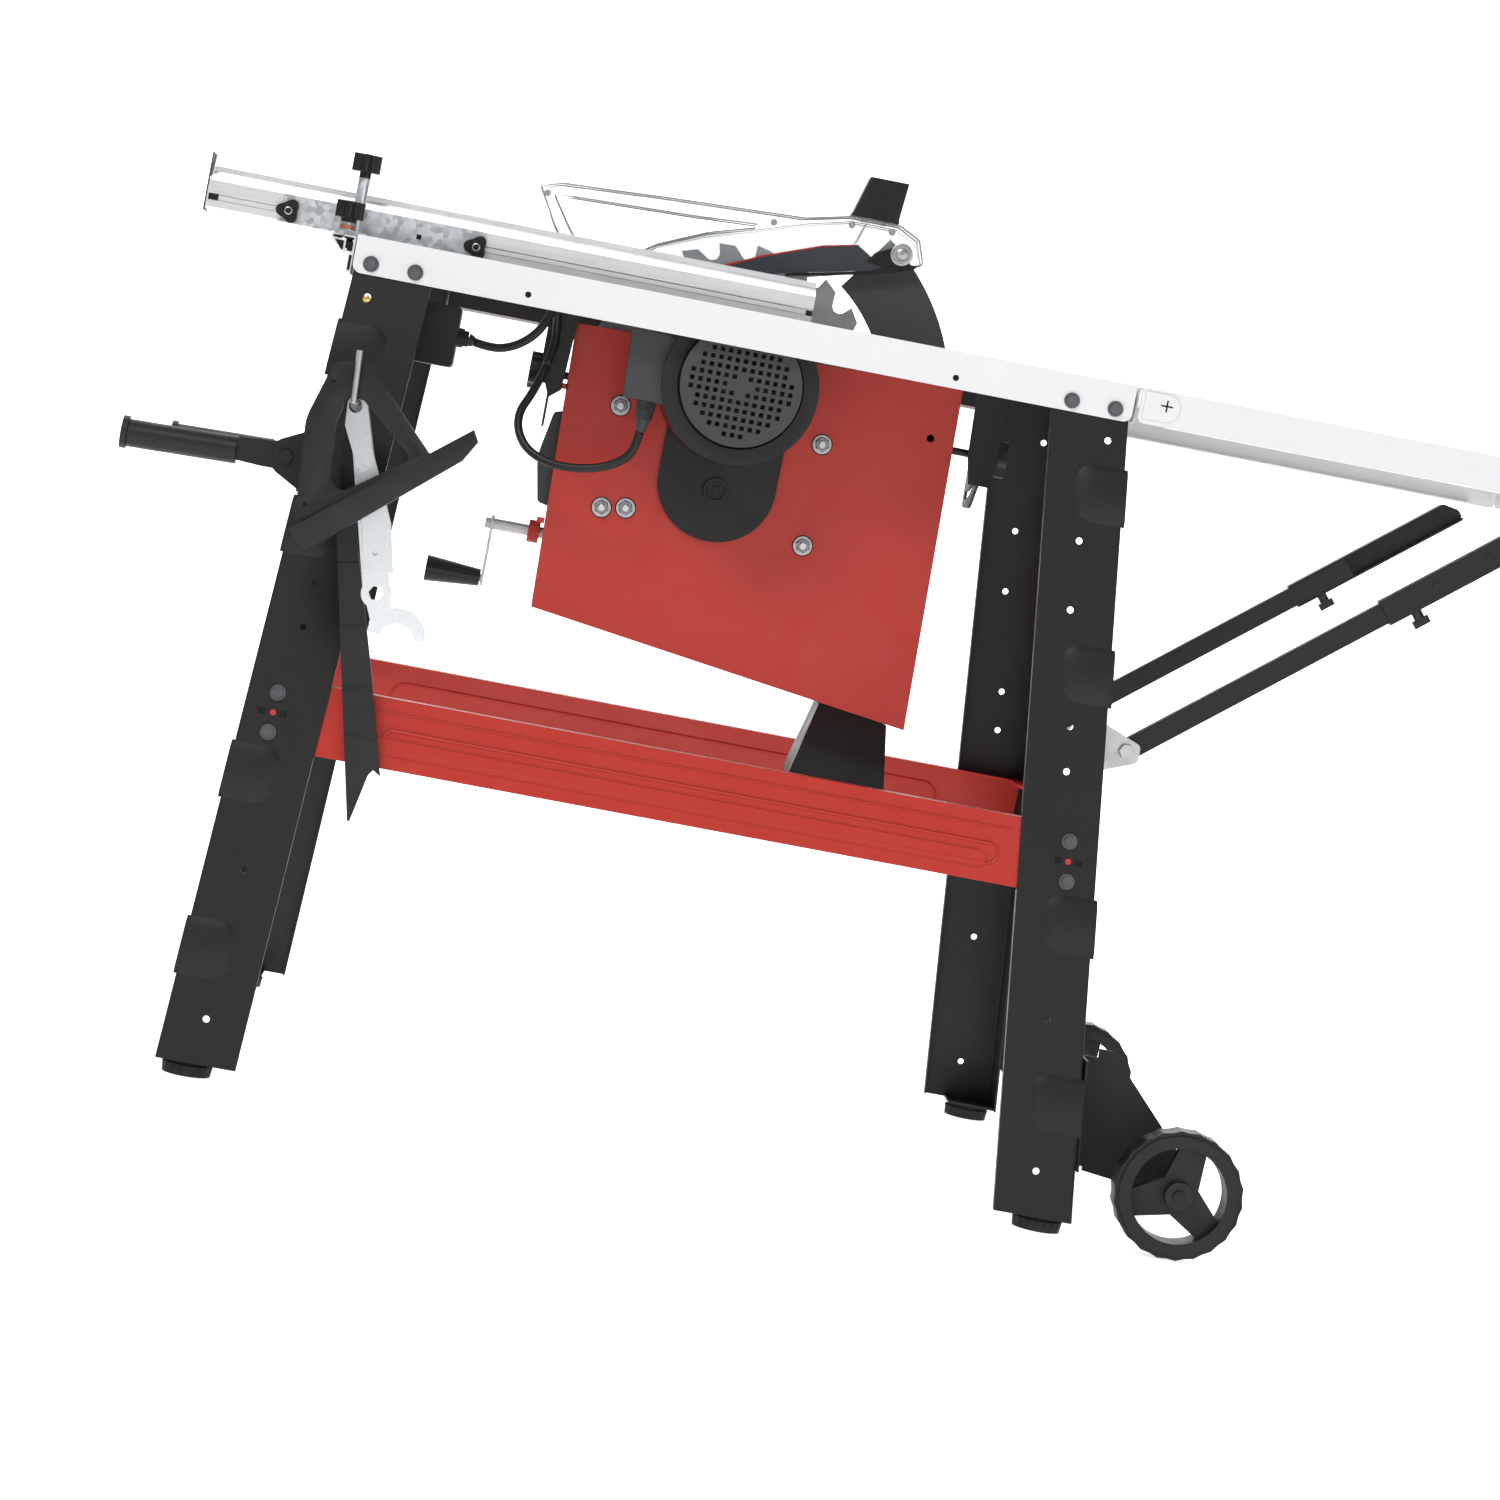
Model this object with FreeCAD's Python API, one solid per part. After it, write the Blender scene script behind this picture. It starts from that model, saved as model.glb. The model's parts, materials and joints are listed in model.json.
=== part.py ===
"""Table saw on a steel stand, with a folding-strut extension table.

Row frame: +X is the feed direction (front of the saw to its extension table), -Y is the
operator's right (the motor side), +Z is up and the feet stand on z = 0.
Sizes below are measured from the table's front edge (x) and its centre line (y); the whole
model is moved along X at export, so that the origin is under the middle of the object.
Heights called dz are measured from the table top.
"""
import FreeCAD
import Part
import math
import os

os.makedirs("parts", exist_ok=True)
V = FreeCAD.Vector

# ---- driving dimensions, mm ------------------------------------------------------------
TABLE_L = 800.0
TABLE_W = 550.0
TABLE_H = 850.0
SHEET = 3.0
APRON = 38.0
APRON_SHEET = 1.6
THROAT = (220.0, 650.0, -40.0, 50.0)
THROAT_SLOT = (238.0, 642.0, -5.0, 14.0)

EXT_GAP = 6.0
EXT_L = 500.0
EXT_APRON = 36.0

LEG_WIDTH = 80.0
LEG_DEPTH = 66.0
LEG_SHEET = 2.0
LEG_FOOT_Z = 15.0
LEG_TOP_Z = TABLE_H - SHEET - 0.3
LEG_SPREAD_Y = 0.147
LEG_SPREAD_FRONT = 0.056
LEG_SPREAD_REAR = 0.105
APRON_EDGE_Z = TABLE_H - APRON

RAIL_TOP_DZ = -448.0
RAIL_H = 70.0
RAIL_SHEET = 1.8

BLADE_R = 157.5
BLADE_X = 406.0
BLADE_DZ = -76.0
BLADE_T = 2.2
ARBOR_R = 15.0
LIFT = 55.0
KNIFE_IN = 163.0
KNIFE_OUT = 236.0
KNIFE_T = 2.5
GUARD_PIVOT = (558.0, 100.0)
GUARD_HALF = 17.0

PANEL_Y = -110.0
COVER_Y = 43.0
HOUSING_SHEET = 2.0
MOTOR_Y0 = -116.0
MOTOR_Y1 = -248.0
MOTOR_R = 80.0
FAN_Y = -262.0
COLUMN_X = (292.0, 507.0)
COLUMN_Y = -86.0
SCREW_X = 345.0
SCREW_Y = -50.0
CRANK_DZ = -263.0
GEAR_R = 16.0

TILT_BOLT_Y = -100.0
TILT_BOLT_DZ = -96.0
TILT_R = math.hypot(TILT_BOLT_Y, TILT_BOLT_DZ)

FENCE_X0 = -163.0
FENCE_X1 = 467.0
WHEEL_X = 977.0
WHEEL_R = 65.0
WHEEL_Z = 66.0
STRUT_PIVOT = (861.0, -366.0)
STRUT_ANGLE = math.radians(38.7)
STRUT_END = 516.0
STRUT_Y = 268.0
HANDLE_BOLT = (-30.0, -232.0)
HANDLE_TIP_X = -196.0
HOOK_TIP_DZ = -116.0
EXT_X0 = TABLE_L + EXT_GAP
EXT_X1 = EXT_X0 + EXT_L
ORIGIN_X = (HANDLE_TIP_X + EXT_X1) / 2

# Cable routes: corners of straight runs, joined by tangent arcs (x, y, dz).
CABLE_R = 4.5
SWITCH_CABLE = [(131.2, -180, -81.44), (150, -180, -84.9), (172, -184, -79), (191, -187, -64), (202, -187, -44),
                (205, -180, -24), (207, -162, -14), (208, -145, -22), (211, -137, -44),
                (213.3, -136.7, -67.1), (208, -142, -90)]
MOTOR_CABLE = [(207.93, -142.07, -90.3), (201.8, -148.2, -116.7), (187, -160, -147), (199, -175, -177),
               (230, -186, -190), (262, -193, -189), (290, -198, -181), (308, -201, -168), (313.7, -202.85, -153),
               (314.77, -203.39, -140.3)]


def z(dz):
    """Height of a point given from the table top."""
    return TABLE_H + dz


# ---- shape helpers ---------------------------------------------------------------------
def box(x0, x1, y0, y1, z0, z1):
    return Part.makeBox(x1 - x0, y1 - y0, z1 - z0, V(x0, y0, z0))


def rod(start, end, radius):
    span = V(*end) - V(*start)
    return Part.makeCylinder(radius, span.Length, V(*start), span)


def cone(start, end, r0, r1):
    span = V(*end) - V(*start)
    return Part.makeCone(r0, r1, span.Length, V(*start), span)


def join(shapes):
    shapes = list(shapes)
    return shapes[0].multiFuse(shapes[1:]).removeSplitter() if len(shapes) > 1 else shapes[0]


def group(shapes):
    return Part.makeCompound(list(shapes))


def face(corners, place):
    """Closed face through (u, v) corners; a third number rounds that corner to a radius."""
    flat = [V(c[0], c[1], 0) for c in corners]
    stretches = []
    for i, corner in enumerate(flat):
        radius = corners[i][2] if len(corners[i]) > 2 else 0
        back = (flat[i - 1] - corner).normalize()
        ahead = (flat[(i + 1) % len(flat)] - corner).normalize()
        if radius == 0:
            stretches.append((corner, None, corner))
            continue
        half = back.getAngle(ahead) / 2
        reach = radius / math.tan(half)
        inward = (back + ahead).normalize()
        centre = corner + inward * (radius / math.sin(half))
        stretches.append((corner + back * reach, centre - inward * radius, corner + ahead * reach))
    edges = []
    for i, (start, middle, end) in enumerate(stretches):
        if middle is not None:
            edges.append(Part.Arc(place(start), place(middle), place(end)).toShape())
        following = stretches[(i + 1) % len(stretches)][0]
        if (following - end).Length > 1e-6:
            edges.append(Part.LineSegment(place(end), place(following)).toShape())
    return Part.Face(Part.Wire(edges))


def slab_xz(corners, y0, y1):
    """Plate with its outline in (x, dz), between two planes across Y."""
    return face(corners, lambda p: V(p.x, y0, z(p.y))).extrude(V(0, y1 - y0, 0))


def slab_yz(corners, x0, x1):
    """Plate with its outline in (y, dz), between two planes across X."""
    return face(corners, lambda p: V(x0, p.x, z(p.y))).extrude(V(x1 - x0, 0, 0))


def slab_xy(corners, z0, z1):
    return face(corners, lambda p: V(p.x, p.y, z0)).extrude(V(0, 0, z1 - z0))


def hexagon(centre, axis, across, length):
    """Hexagonal head with its far face at centre + axis * length."""
    axis = V(*axis).normalize()
    side = axis.cross(V(0, 0, 1) if abs(axis.z) < 0.9 else V(1, 0, 0)).normalize()
    up = axis.cross(side)
    radius = across / math.sqrt(3)
    ring = []
    for i in range(7):
        angle = math.radians(60 * i)
        ring.append(V(*centre) + side * (radius * math.cos(angle)) + up * (radius * math.sin(angle)))
    return Part.Face(Part.makePolygon(ring)).extrude(axis * length)


def lobed(centre, axis, radius, depth, lobes, length):
    """Star knob: a disc whose rim waves in and out, as a smooth closed curve."""
    axis = V(*axis).normalize()
    side = axis.cross(V(0, 0, 1) if abs(axis.z) < 0.9 else V(1, 0, 0)).normalize()
    up = axis.cross(side)
    count = lobes * 8
    ring = []
    for i in range(count):
        angle = 2 * math.pi * i / count
        reach = radius - depth / 2 + depth / 2 * math.cos(lobes * angle)
        ring.append(V(*centre) + side * (reach * math.cos(angle)) + up * (reach * math.sin(angle)))
    curve = Part.BSplineCurve()
    curve.interpolate(Points=ring, PeriodicFlag=True)
    return Part.Face(Part.Wire([curve.toShape()])).extrude(axis * length)


def tube(route, radius, name):
    """Round tube along straight runs joined by tangent arcs; returns the solid."""
    points = [V(x, y, z(dz)) for x, y, dz in route]
    edges = []
    start = points[0]
    for i in range(1, len(points) - 1):
        back = points[i - 1] - points[i]
        ahead = points[i + 1] - points[i]
        half_turn = (math.pi - back.getAngle(ahead)) / 2
        reach = 0.45 * min(back.Length, ahead.Length)
        bend = reach / math.tan(half_turn)
        back.normalize()
        ahead.normalize()
        inward = (back + ahead).normalize()
        centre = points[i] + inward * (bend / math.cos(half_turn))
        entry = points[i] + back * reach
        leave = points[i] + ahead * reach
        edges.append(Part.LineSegment(start, entry).toShape())
        edges.append(Part.Arc(entry, centre - inward * bend, leave).toShape())
        start = leave
        print(name, "arc", i, "radius %.1f" % bend)
    edges.append(Part.LineSegment(start, points[-1]).toShape())
    path = Part.Wire(edges)
    section = Part.Wire([Part.makeCircle(radius, points[0], points[1] - points[0])])
    solid = path.makePipeShell([section], True, False)
    print(name, "volume ratio %.4f" % (solid.Volume / (math.pi * radius ** 2 * path.Length)))
    return solid


NODES = {}


def add(name, shape):
    NODES[name] = shape


# ---- table -----------------------------------------------------------------------------
APRON_BOLT_X = (18.0, 63.0, TABLE_L - 63.0, TABLE_L - 18.0)
APRON_BOLT_DZ = -27.0
APRON_HOLE_X = (178.0, 617.0)


def table_top():
    """Folded steel sheet: a flat top and a skirt on all four sides."""
    half = TABLE_W / 2
    top = box(0, TABLE_L, -half, half, z(-SHEET), z(0))
    sides = []
    for side in (-1, 1):
        y0 = side * half
        skirt = [(0, -1), (TABLE_L, -1), (TABLE_L, -APRON, 9), (0, -APRON, 9)]
        sides.append(slab_xz(skirt, y0, y0 - side * APRON_SHEET))
    for x0, x1 in ((0, APRON_SHEET), (TABLE_L - APRON_SHEET, TABLE_L)):
        skirt = [(-half + 10, -1), (half - 10, -1), (half - 10, -APRON, 6), (-half + 10, -APRON, 6)]
        sides.append(slab_yz(skirt, x0, x1))
    shape = join([top] + sides)
    x0, x1, y0, y1 = THROAT
    shape = shape.cut(slab_xy([(x0, y0, 8), (x1, y0, 8), (x1, y1, 8), (x0, y1, 8)], z(-1.5), z(1)))
    shape = shape.cut(box(x0 + 6, x1 - 6, y0 + 6, y1 - 6, z(-5), z(1)))
    for x in APRON_HOLE_X:
        shape = shape.cut(rod((x, -half - 1, z(APRON_BOLT_DZ)), (x, -half + 5, z(APRON_BOLT_DZ)), 3.2))
        shape = shape.cut(rod((x, half + 1, z(APRON_BOLT_DZ)), (x, half - 5, z(APRON_BOLT_DZ)), 3.2))
    return shape


def table_insert():
    x0, x1, y0, y1 = (THROAT[0] + 0.3, THROAT[1] - 0.3, THROAT[2] + 0.3, THROAT[3] - 0.3)
    plate = slab_xy([(x0, y0, 7.7), (x1, y0, 7.7), (x1, y1, 7.7), (x0, y1, 7.7)], z(-1.5), z(0))
    sx0, sx1, sy0, sy1 = THROAT_SLOT
    return plate.cut(slab_xy([(sx0, sy0, 4), (sx1, sy0, 4), (sx1, sy1, 4), (sx0, sy1, 4)], z(-3), z(1)))


def front_guide_rail():
    """Aluminium extrusion along the front edge, open channels on its top and front."""
    outline = [(-26, -3), (-1, -3), (-1, -40), (-6, -40), (-6, -20), (-14, -20), (-26, -8)]
    rail = face(outline, lambda p: V(p.x, -TABLE_W / 2, z(p.y))).extrude(V(0, TABLE_W, 0))
    rail = rail.cut(box(-20, -13, -300, 300, z(-8), z(-2)))
    rail = rail.cut(box(-10.5, -4, -300, 300, z(-16), z(-6)))
    return rail


# ---- stand -----------------------------------------------------------------------------
def leg_corner(front, side, height):
    """Outer corner of a leg at a height above the floor."""
    drop = APRON_EDGE_Z - height
    y = side * (TABLE_W / 2 - APRON_SHEET - 0.1 + LEG_SPREAD_Y * drop)
    if front:
        return V(APRON_SHEET + 0.1 - LEG_SPREAD_FRONT * drop, y, height)
    return V(TABLE_L - APRON_SHEET - 0.1 + LEG_SPREAD_REAR * drop, y, height)


LEG_PADS_DZ = (-115.0, -296.0, -545.0, -722.0)
LEG_HOLES = ((-60.0, 20.0), (-165.0, 42.0), (-235.0, 46.0), (-350.0, 38.0), (-395.0, 38.0),
             (-640.0, 40.0), (-790.0, 40.0))


def leg(front, side):
    """Slanted L section of folded sheet with raised pads over its outer corner."""
    inx = 1 if front else -1
    low = leg_corner(front, side, LEG_FOOT_Z)
    rise = leg_corner(front, side, LEG_TOP_Z) - low
    lean = rise * (1 / rise.z)
    u = V(inx, 0, 0)
    w = V(0, -side, 0)

    def section(point):
        return low + u * point.x + w * point.y
    outline = [(0, 0, 3), (LEG_WIDTH, 0), (LEG_WIDTH, 10), (LEG_WIDTH - LEG_SHEET, 10),
               (LEG_WIDTH - LEG_SHEET, LEG_SHEET), (LEG_SHEET, LEG_SHEET, 1), (LEG_SHEET, LEG_DEPTH), (0, LEG_DEPTH)]
    body = face(outline, section).extrude(rise)
    pieces = [body]
    foot_plate = face([(1, 1), (56, 1), (56, 56), (1, 56)], section).extrude(lean * 3)
    pieces.append(foot_plate)
    for dz in LEG_PADS_DZ:
        centre = leg_corner(front, side, z(dz))
        for along, out in ((u, w), (w, u)):
            def pad(point, centre=centre, along=along):
                return centre + along * point.x + lean * point.y
            reach = 44 if along is u else 36
            d_shape = [(-2.4, -23), (reach, -23, 13), (reach, 23, 13), (-2.4, 23)]
            pieces.append(face(d_shape, pad).extrude(out * -2.5))
    body = join(pieces)
    notch_low = leg_corner(front, side, z(RAIL_TOP_DZ) - RAIL_H - 2) - leg_corner(front, side, LEG_FOOT_Z)

    def notch(point):
        return section(point) + notch_low
    gap = [(LEG_WIDTH - LEG_SHEET - 1, LEG_SHEET + 0.05), (LEG_WIDTH + 1, LEG_SHEET + 0.05), (LEG_WIDTH + 1, 12),
           (LEG_WIDTH - LEG_SHEET - 1, 12)]
    body = body.cut(face(gap, notch).extrude(lean * (RAIL_H + 4)))
    for dz, reach in LEG_HOLES:
        spot = leg_corner(front, side, z(dz)) + u * reach
        body = body.cut(rod(tuple(spot - w * 6), tuple(spot + w * 9), 3.5))
    return body


def feet():
    shapes = []
    for front in (True, False):
        for side in (-1, 1):
            spot = leg_corner(front, side, LEG_FOOT_Z)
            x = spot.x + (31 if front else -31)
            y = spot.y - side * 31
            foot = join([cone((x, y, 0), (x, y, 11), 24, 25.5), rod((x, y, 11), (x, y, LEG_FOOT_Z), 22)])
            for i in range(18):
                angle = math.radians(20 * i)
                groove = rod((x + 26 * math.cos(angle), y + 26 * math.sin(angle), 2.5),
                             (x + 26 * math.cos(angle), y + 26 * math.sin(angle), 12), 1.6)
                foot = foot.cut(groove)
            shapes.append(foot)
    return group(shapes)


def side_rail(side):
    """Channel between the front and rear leg, with one long raised rib."""
    top = z(RAIL_TOP_DZ)
    low = top - RAIL_H
    inset = LEG_SHEET + 0.1
    y_low = leg_corner(True, side, low).y - side * inset
    y_top = leg_corner(True, side, top).y - side * inset
    x0 = leg_corner(True, side, top).x + LEG_SHEET + 3
    x1 = leg_corner(False, side, top).x - LEG_SHEET - 3
    lean = V(0, (y_top - y_low) / RAIL_H, 1)
    start = V(x0, y_low, low)
    w = V(0, -side, 0)

    def section(point):
        return start + w * point.x + lean * point.y
    s = RAIL_SHEET
    outline = [(0, 0), (20, 0), (20, s), (s, s), (s, RAIL_H - s), (20, RAIL_H - s), (20, RAIL_H), (0, RAIL_H)]
    rail = face(outline, section).extrude(V(x1 - x0, 0, 0))

    def web(point):
        return V(point.x, y_low, low) + lean * point.y
    ends = (LEG_WIDTH + 24, x1 - x0 - LEG_WIDTH - 24)
    rib = face([(x0 + ends[0], 14, 7.9), (x0 + ends[1], 14, 7.9), (x0 + ends[1], 30, 7.9), (x0 + ends[0], 30, 7.9)],
               web).extrude(w * -1.6)
    return join([rail, rib])


def cross_rail(front):
    """Short channel across the stand, fixed to the inner faces of the leg flanges."""
    top = z(RAIL_TOP_DZ)
    low = top - RAIL_H
    inx = 1 if front else -1
    inset = LEG_SHEET + 0.1
    x_low = leg_corner(front, 1, low).x + inx * inset
    x_top = leg_corner(front, 1, top).x + inx * inset
    half = leg_corner(front, 1, top).y - LEG_SHEET - RAIL_SHEET - 22
    lean = V((x_top - x_low) / RAIL_H, 0, 1)
    u = V(inx, 0, 0)
    start = V(x_low, -half, low)

    def section(point):
        return start + u * point.x + lean * point.y
    s = RAIL_SHEET
    outline = [(0, 0), (18, 0), (18, s), (s, s), (s, RAIL_H - s), (18, RAIL_H - s), (18, RAIL_H), (0, RAIL_H)]
    return face(outline, section).extrude(V(0, 2 * half, 0))


def rail_bolt_spots(front, side):
    spots = []
    for dz in (RAIL_TOP_DZ - 15, RAIL_TOP_DZ - 55):
        spots.append(leg_corner(front, side, z(dz)) + V(30 if front else -30, 0, 0))
    return spots


def frame_bolts():
    """Hexagon bolt heads with washers: two at each leg top, two at each rail end."""
    shapes = []
    half = TABLE_W / 2
    for side in (-1, 1):
        for x in APRON_BOLT_X:
            spot = V(x, side * half, z(APRON_BOLT_DZ))
            washer = rod(tuple(spot), tuple(spot + V(0, side * 1.2, 0)), 8)
            shapes.append(join([washer, hexagon(tuple(spot + V(0, side * 1.2, 0)), (0, side, 0), 10, 4)]))
        for front in (True, False):
            for spot in rail_bolt_spots(front, side):
                out = V(0, side, LEG_SPREAD_Y).normalize()
                washer = rod(tuple(spot), tuple(spot + out * 1.2), 8)
                shapes.append(join([washer, hexagon(tuple(spot + out * 1.2), tuple(out), 10, 4)]))
    return group(shapes)


def tilt_brackets():
    """Two sheet brackets under the table, each with the arc slot that guides the bevel."""
    shapes = []
    for x0, toward in ((214.0, 1), (676.0, -1)):
        plate = slab_yz([(-128, -3.2), (40, -3.2), (40, -60, 10), (18, -152, 16), (-60, -152, 30),
                         (-128, -110, 16)], x0, x0 + 2.5)
        flange = box(*sorted((x0 + 1.25, x0 + 1.25 - toward * 24)), -128, 40, z(-5.7), z(-3.2))
        edge_x = sorted((x0 + (2.5 if toward > 0 else 0), x0 + (2.5 if toward > 0 else 0) - toward * 14))
        edge = box(edge_x[0], edge_x[1], -130.5, -128, z(-108), z(-3.2))
        plate = join([plate, flange, edge])
        ring = rod((x0 - 1, 0, z(0)), (x0 + 4, 0, z(0)), TILT_R + 4.5)
        ring = ring.cut(rod((x0 - 2, 0, z(0)), (x0 + 5, 0, z(0)), TILT_R - 4.5))
        start = math.atan2(TILT_BOLT_DZ, TILT_BOLT_Y) - math.radians(2.5)
        sweep = math.radians(50)
        reach = 400.0
        wedge = [(0, 0)]
        for i in range(4):
            angle = start + sweep * i / 3
            wedge.append((reach * math.cos(angle), reach * math.sin(angle)))
        ring = ring.common(slab_yz(wedge, x0 - 1, x0 + 4))
        shapes.append(plate.cut(ring))
    return group(shapes)


def switch_box():
    """Mains switch housing on the front right leg, with its cable gland."""
    body = slab_xz([(69, -50, 4), (114, -50, 4), (114, -112, 4), (69, -112, 4)], -206, -152)
    bezel = box(64, 69, -203, -155, z(-110), z(-52))
    gland = join([rod((114, -180, z(-80)), (120, -180, z(-80)), 10), hexagon((120, -180, z(-80)), (1, 0, 0), 16, 5),
                  cone((125, -180, z(-80.3)), (131, -180, z(-81.4)), 7, 5.2)])
    bracket = box(69, 84, -219, -206, z(-100), z(-60))
    body = join([body, bezel, gland, bracket])
    for dz in (-67, -95):
        body = body.cut(rod((63, -179, z(dz)), (82, -179, z(dz)), 9.4))
    return body


def push_button(dz, length):
    return join([rod((60.0 + 4 - length, -179, z(dz)), (76, -179, z(dz)), 9.0),
                 rod((76, -179, z(dz)), (78, -179, z(dz)), 8)])


def wheel_brackets():
    """Two sheet brackets bolted to the rear legs that carry the wheel axle."""
    shapes = []
    for side in (-1, 1):
        y_leg = side * (abs(leg_corner(False, side, 100).y) - LEG_DEPTH + 6)
        plate = slab_xz([(886, 185 - TABLE_H), (900, 185 - TABLE_H, 6), (WHEEL_X + 16, 88 - TABLE_H, 14),
                         (WHEEL_X + 14, 48 - TABLE_H, 14), (892, 60 - TABLE_H)], y_leg, y_leg + side * 2.5)
        foot_top = leg_corner(False, side, 178)
        foot_low = leg_corner(False, side, 64)
        lean = (foot_top - foot_low) * (1 / (foot_top.z - foot_low.z))
        start = foot_low + V(2.8, 0, 0)

        def tab(point, start=start, lean=lean):
            return V(start.x, 0, start.z) + V(lean.x, 0, 1) * point.y + V(0, point.x, 0)
        low_y, high_y = sorted((y_leg, y_leg + side * 50))
        flange = face([(low_y, 0), (high_y, 0), (high_y, 112), (low_y, 112)], tab).extrude(V(2.5, 0, 0))
        gusset = slab_xz([(start.x + 1, 64 - TABLE_H), (900, 64 - TABLE_H), (908, 176 - TABLE_H),
                          (start.x + 1 + lean.x * 112, 176 - TABLE_H)], y_leg, y_leg + side * 2.5)
        bracket = join([plate, gusset, flange])
        bracket = bracket.cut(rod((WHEEL_X, y_leg - 9, WHEEL_Z), (WHEEL_X, y_leg + 9, WHEEL_Z), 6.05))
        shapes.append(bracket)
    return shapes


def wheel_axle():
    return rod((WHEEL_X, -423, WHEEL_Z), (WHEEL_X, 423, WHEEL_Z), 6.0)


def wheel(side):
    """Moulded wheel: treaded rim, three broad spokes and a hub."""
    y0, y1 = sorted((side * 384.0, side * 420.0))
    middle = (y0 + y1) / 2
    count = 22
    ring = []
    for i in range(count * 2):
        angle = math.pi * i / count
        reach = WHEEL_R - (0 if i % 2 == 0 else 1.5)
        ring.append(V(WHEEL_X + reach * math.cos(angle), y0 + 3, WHEEL_Z + reach * math.sin(angle)))
    ring.append(ring[0])
    tread = Part.Face(Part.makePolygon(ring)).extrude(V(0, y1 - y0 - 6, 0))
    tread = join([tread, rod((WHEEL_X, y0, WHEEL_Z), (WHEEL_X, y1, WHEEL_Z), WHEEL_R - 5)])
    tread = tread.cut(rod((WHEEL_X, y0 - 1, WHEEL_Z), (WHEEL_X, y1 + 1, WHEEL_Z), WHEEL_R - 17))
    hub = rod((WHEEL_X, y0, WHEEL_Z), (WHEEL_X, y1, WHEEL_Z), 14)
    spokes = []
    for i in range(3):
        angle = math.radians(80 + 120 * i)
        along = V(math.cos(angle), 0, math.sin(angle))
        across = V(-math.sin(angle), 0, math.cos(angle))
        centre = V(WHEEL_X, middle - 6, WHEEL_Z)

        def spoke(point, centre=centre, along=along, across=across):
            return centre + along * point.x + across * point.y
        spokes.append(face([(0, -20), (WHEEL_R - 14, -13), (WHEEL_R - 14, 13), (0, 20)], spoke).extrude(V(0, 12, 0)))
    body = join([tread, hub] + spokes)
    return body.cut(rod((WHEEL_X, y0 - 1, WHEEL_Z), (WHEEL_X, y1 + 1, WHEEL_Z), 6.08))


def handle_brackets():
    """Forked brackets on the front legs for the folding transport handles."""
    shapes = []
    bx, bdz = HANDLE_BOLT
    for side in (-1, 1):
        corner = leg_corner(True, side, z(bdz))
        y_mid = corner.y - side * 30
        back = corner.x - 0.3
        cheeks = []
        for offset in (-15, 12.5):
            cheeks.append(slab_xz([(bx - 13, bdz - 14, 12), (bx - 13, bdz + 14, 12), (back - 1.5, bdz + 30),
                                   (back - 4, bdz - 30)], y_mid + offset, y_mid + offset + 2.5))
        lean = LEG_SPREAD_FRONT
        plate_face = [(back - 2.5 + lean * 32, bdz + 32), (back + lean * 32, bdz + 32),
                      (back - lean * 32, bdz - 32), (back - 2.5 - lean * 32, bdz - 32)]
        plate = slab_xz(plate_face, y_mid - 22, y_mid + 22)
        bolt = join([rod((bx, y_mid - 18, z(bdz)), (bx, y_mid + 18, z(bdz)), 4.0),
                     hexagon((bx, y_mid - 15, z(bdz)), (0, -1, 0), 13, 5),
                     hexagon((bx, y_mid + 15, z(bdz)), (0, 1, 0), 13, 5)])
        shapes.append(join(cheeks + [plate, bolt]))
    return group(shapes)


def transport_handle(side):
    """Flat shank with an oval grip, pivoted on its bracket's bolt."""
    bx, bdz = HANDLE_BOLT
    y_mid = leg_corner(True, side, z(bdz)).y - side * 30
    shank = slab_xz([(bx + 12, bdz - 14, 9), (bx + 12, bdz + 14, 9), (bx - 26, bdz + 13, 6), (bx - 62, bdz + 8),
                     (bx - 62, bdz - 12), (bx - 26, bdz - 14, 6)], y_mid - 10, y_mid + 10)
    grip = Part.makeCylinder(14, abs(HANDLE_TIP_X - (bx - 50)) - 6, V(bx - 50, y_mid, z(bdz - 3)), V(-1, 0, -0.03))
    cap = Part.makeCylinder(16.5, 6, V(HANDLE_TIP_X + 6, y_mid, z(bdz - 6)), V(-1, 0, 0))
    body = join([shank, grip, cap])
    return body.cut(rod((bx, y_mid - 20, z(bdz)), (bx, y_mid + 20, z(bdz)), 4.08))


PEG = (33.0, -166.0)
PEG_R = 3.0
TOOL_Y = -366.0
BLOCK_Y = (-412.0, -388.0)
PEG_TIP_Y = -416.2


def tool_hook():
    """Bent wire hook on the right front leg: a peg outward with an upturned end."""
    x, dz = PEG
    leg_y = leg_corner(True, -1, z(dz)).y - 1.8
    peg = rod((x, leg_y, z(dz)), (x, PEG_TIP_Y, z(dz)), PEG_R)
    up = rod((x, PEG_TIP_Y, z(dz)), (x - 3, PEG_TIP_Y, z(HOOK_TIP_DZ)), PEG_R)
    ball = Part.makeSphere(PEG_R, V(x, PEG_TIP_Y, z(dz)))
    plate = rod((x, leg_y, z(dz)), (x, leg_y - 2.4, z(dz)), 9)
    return join([peg, up, ball, plate])


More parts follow.
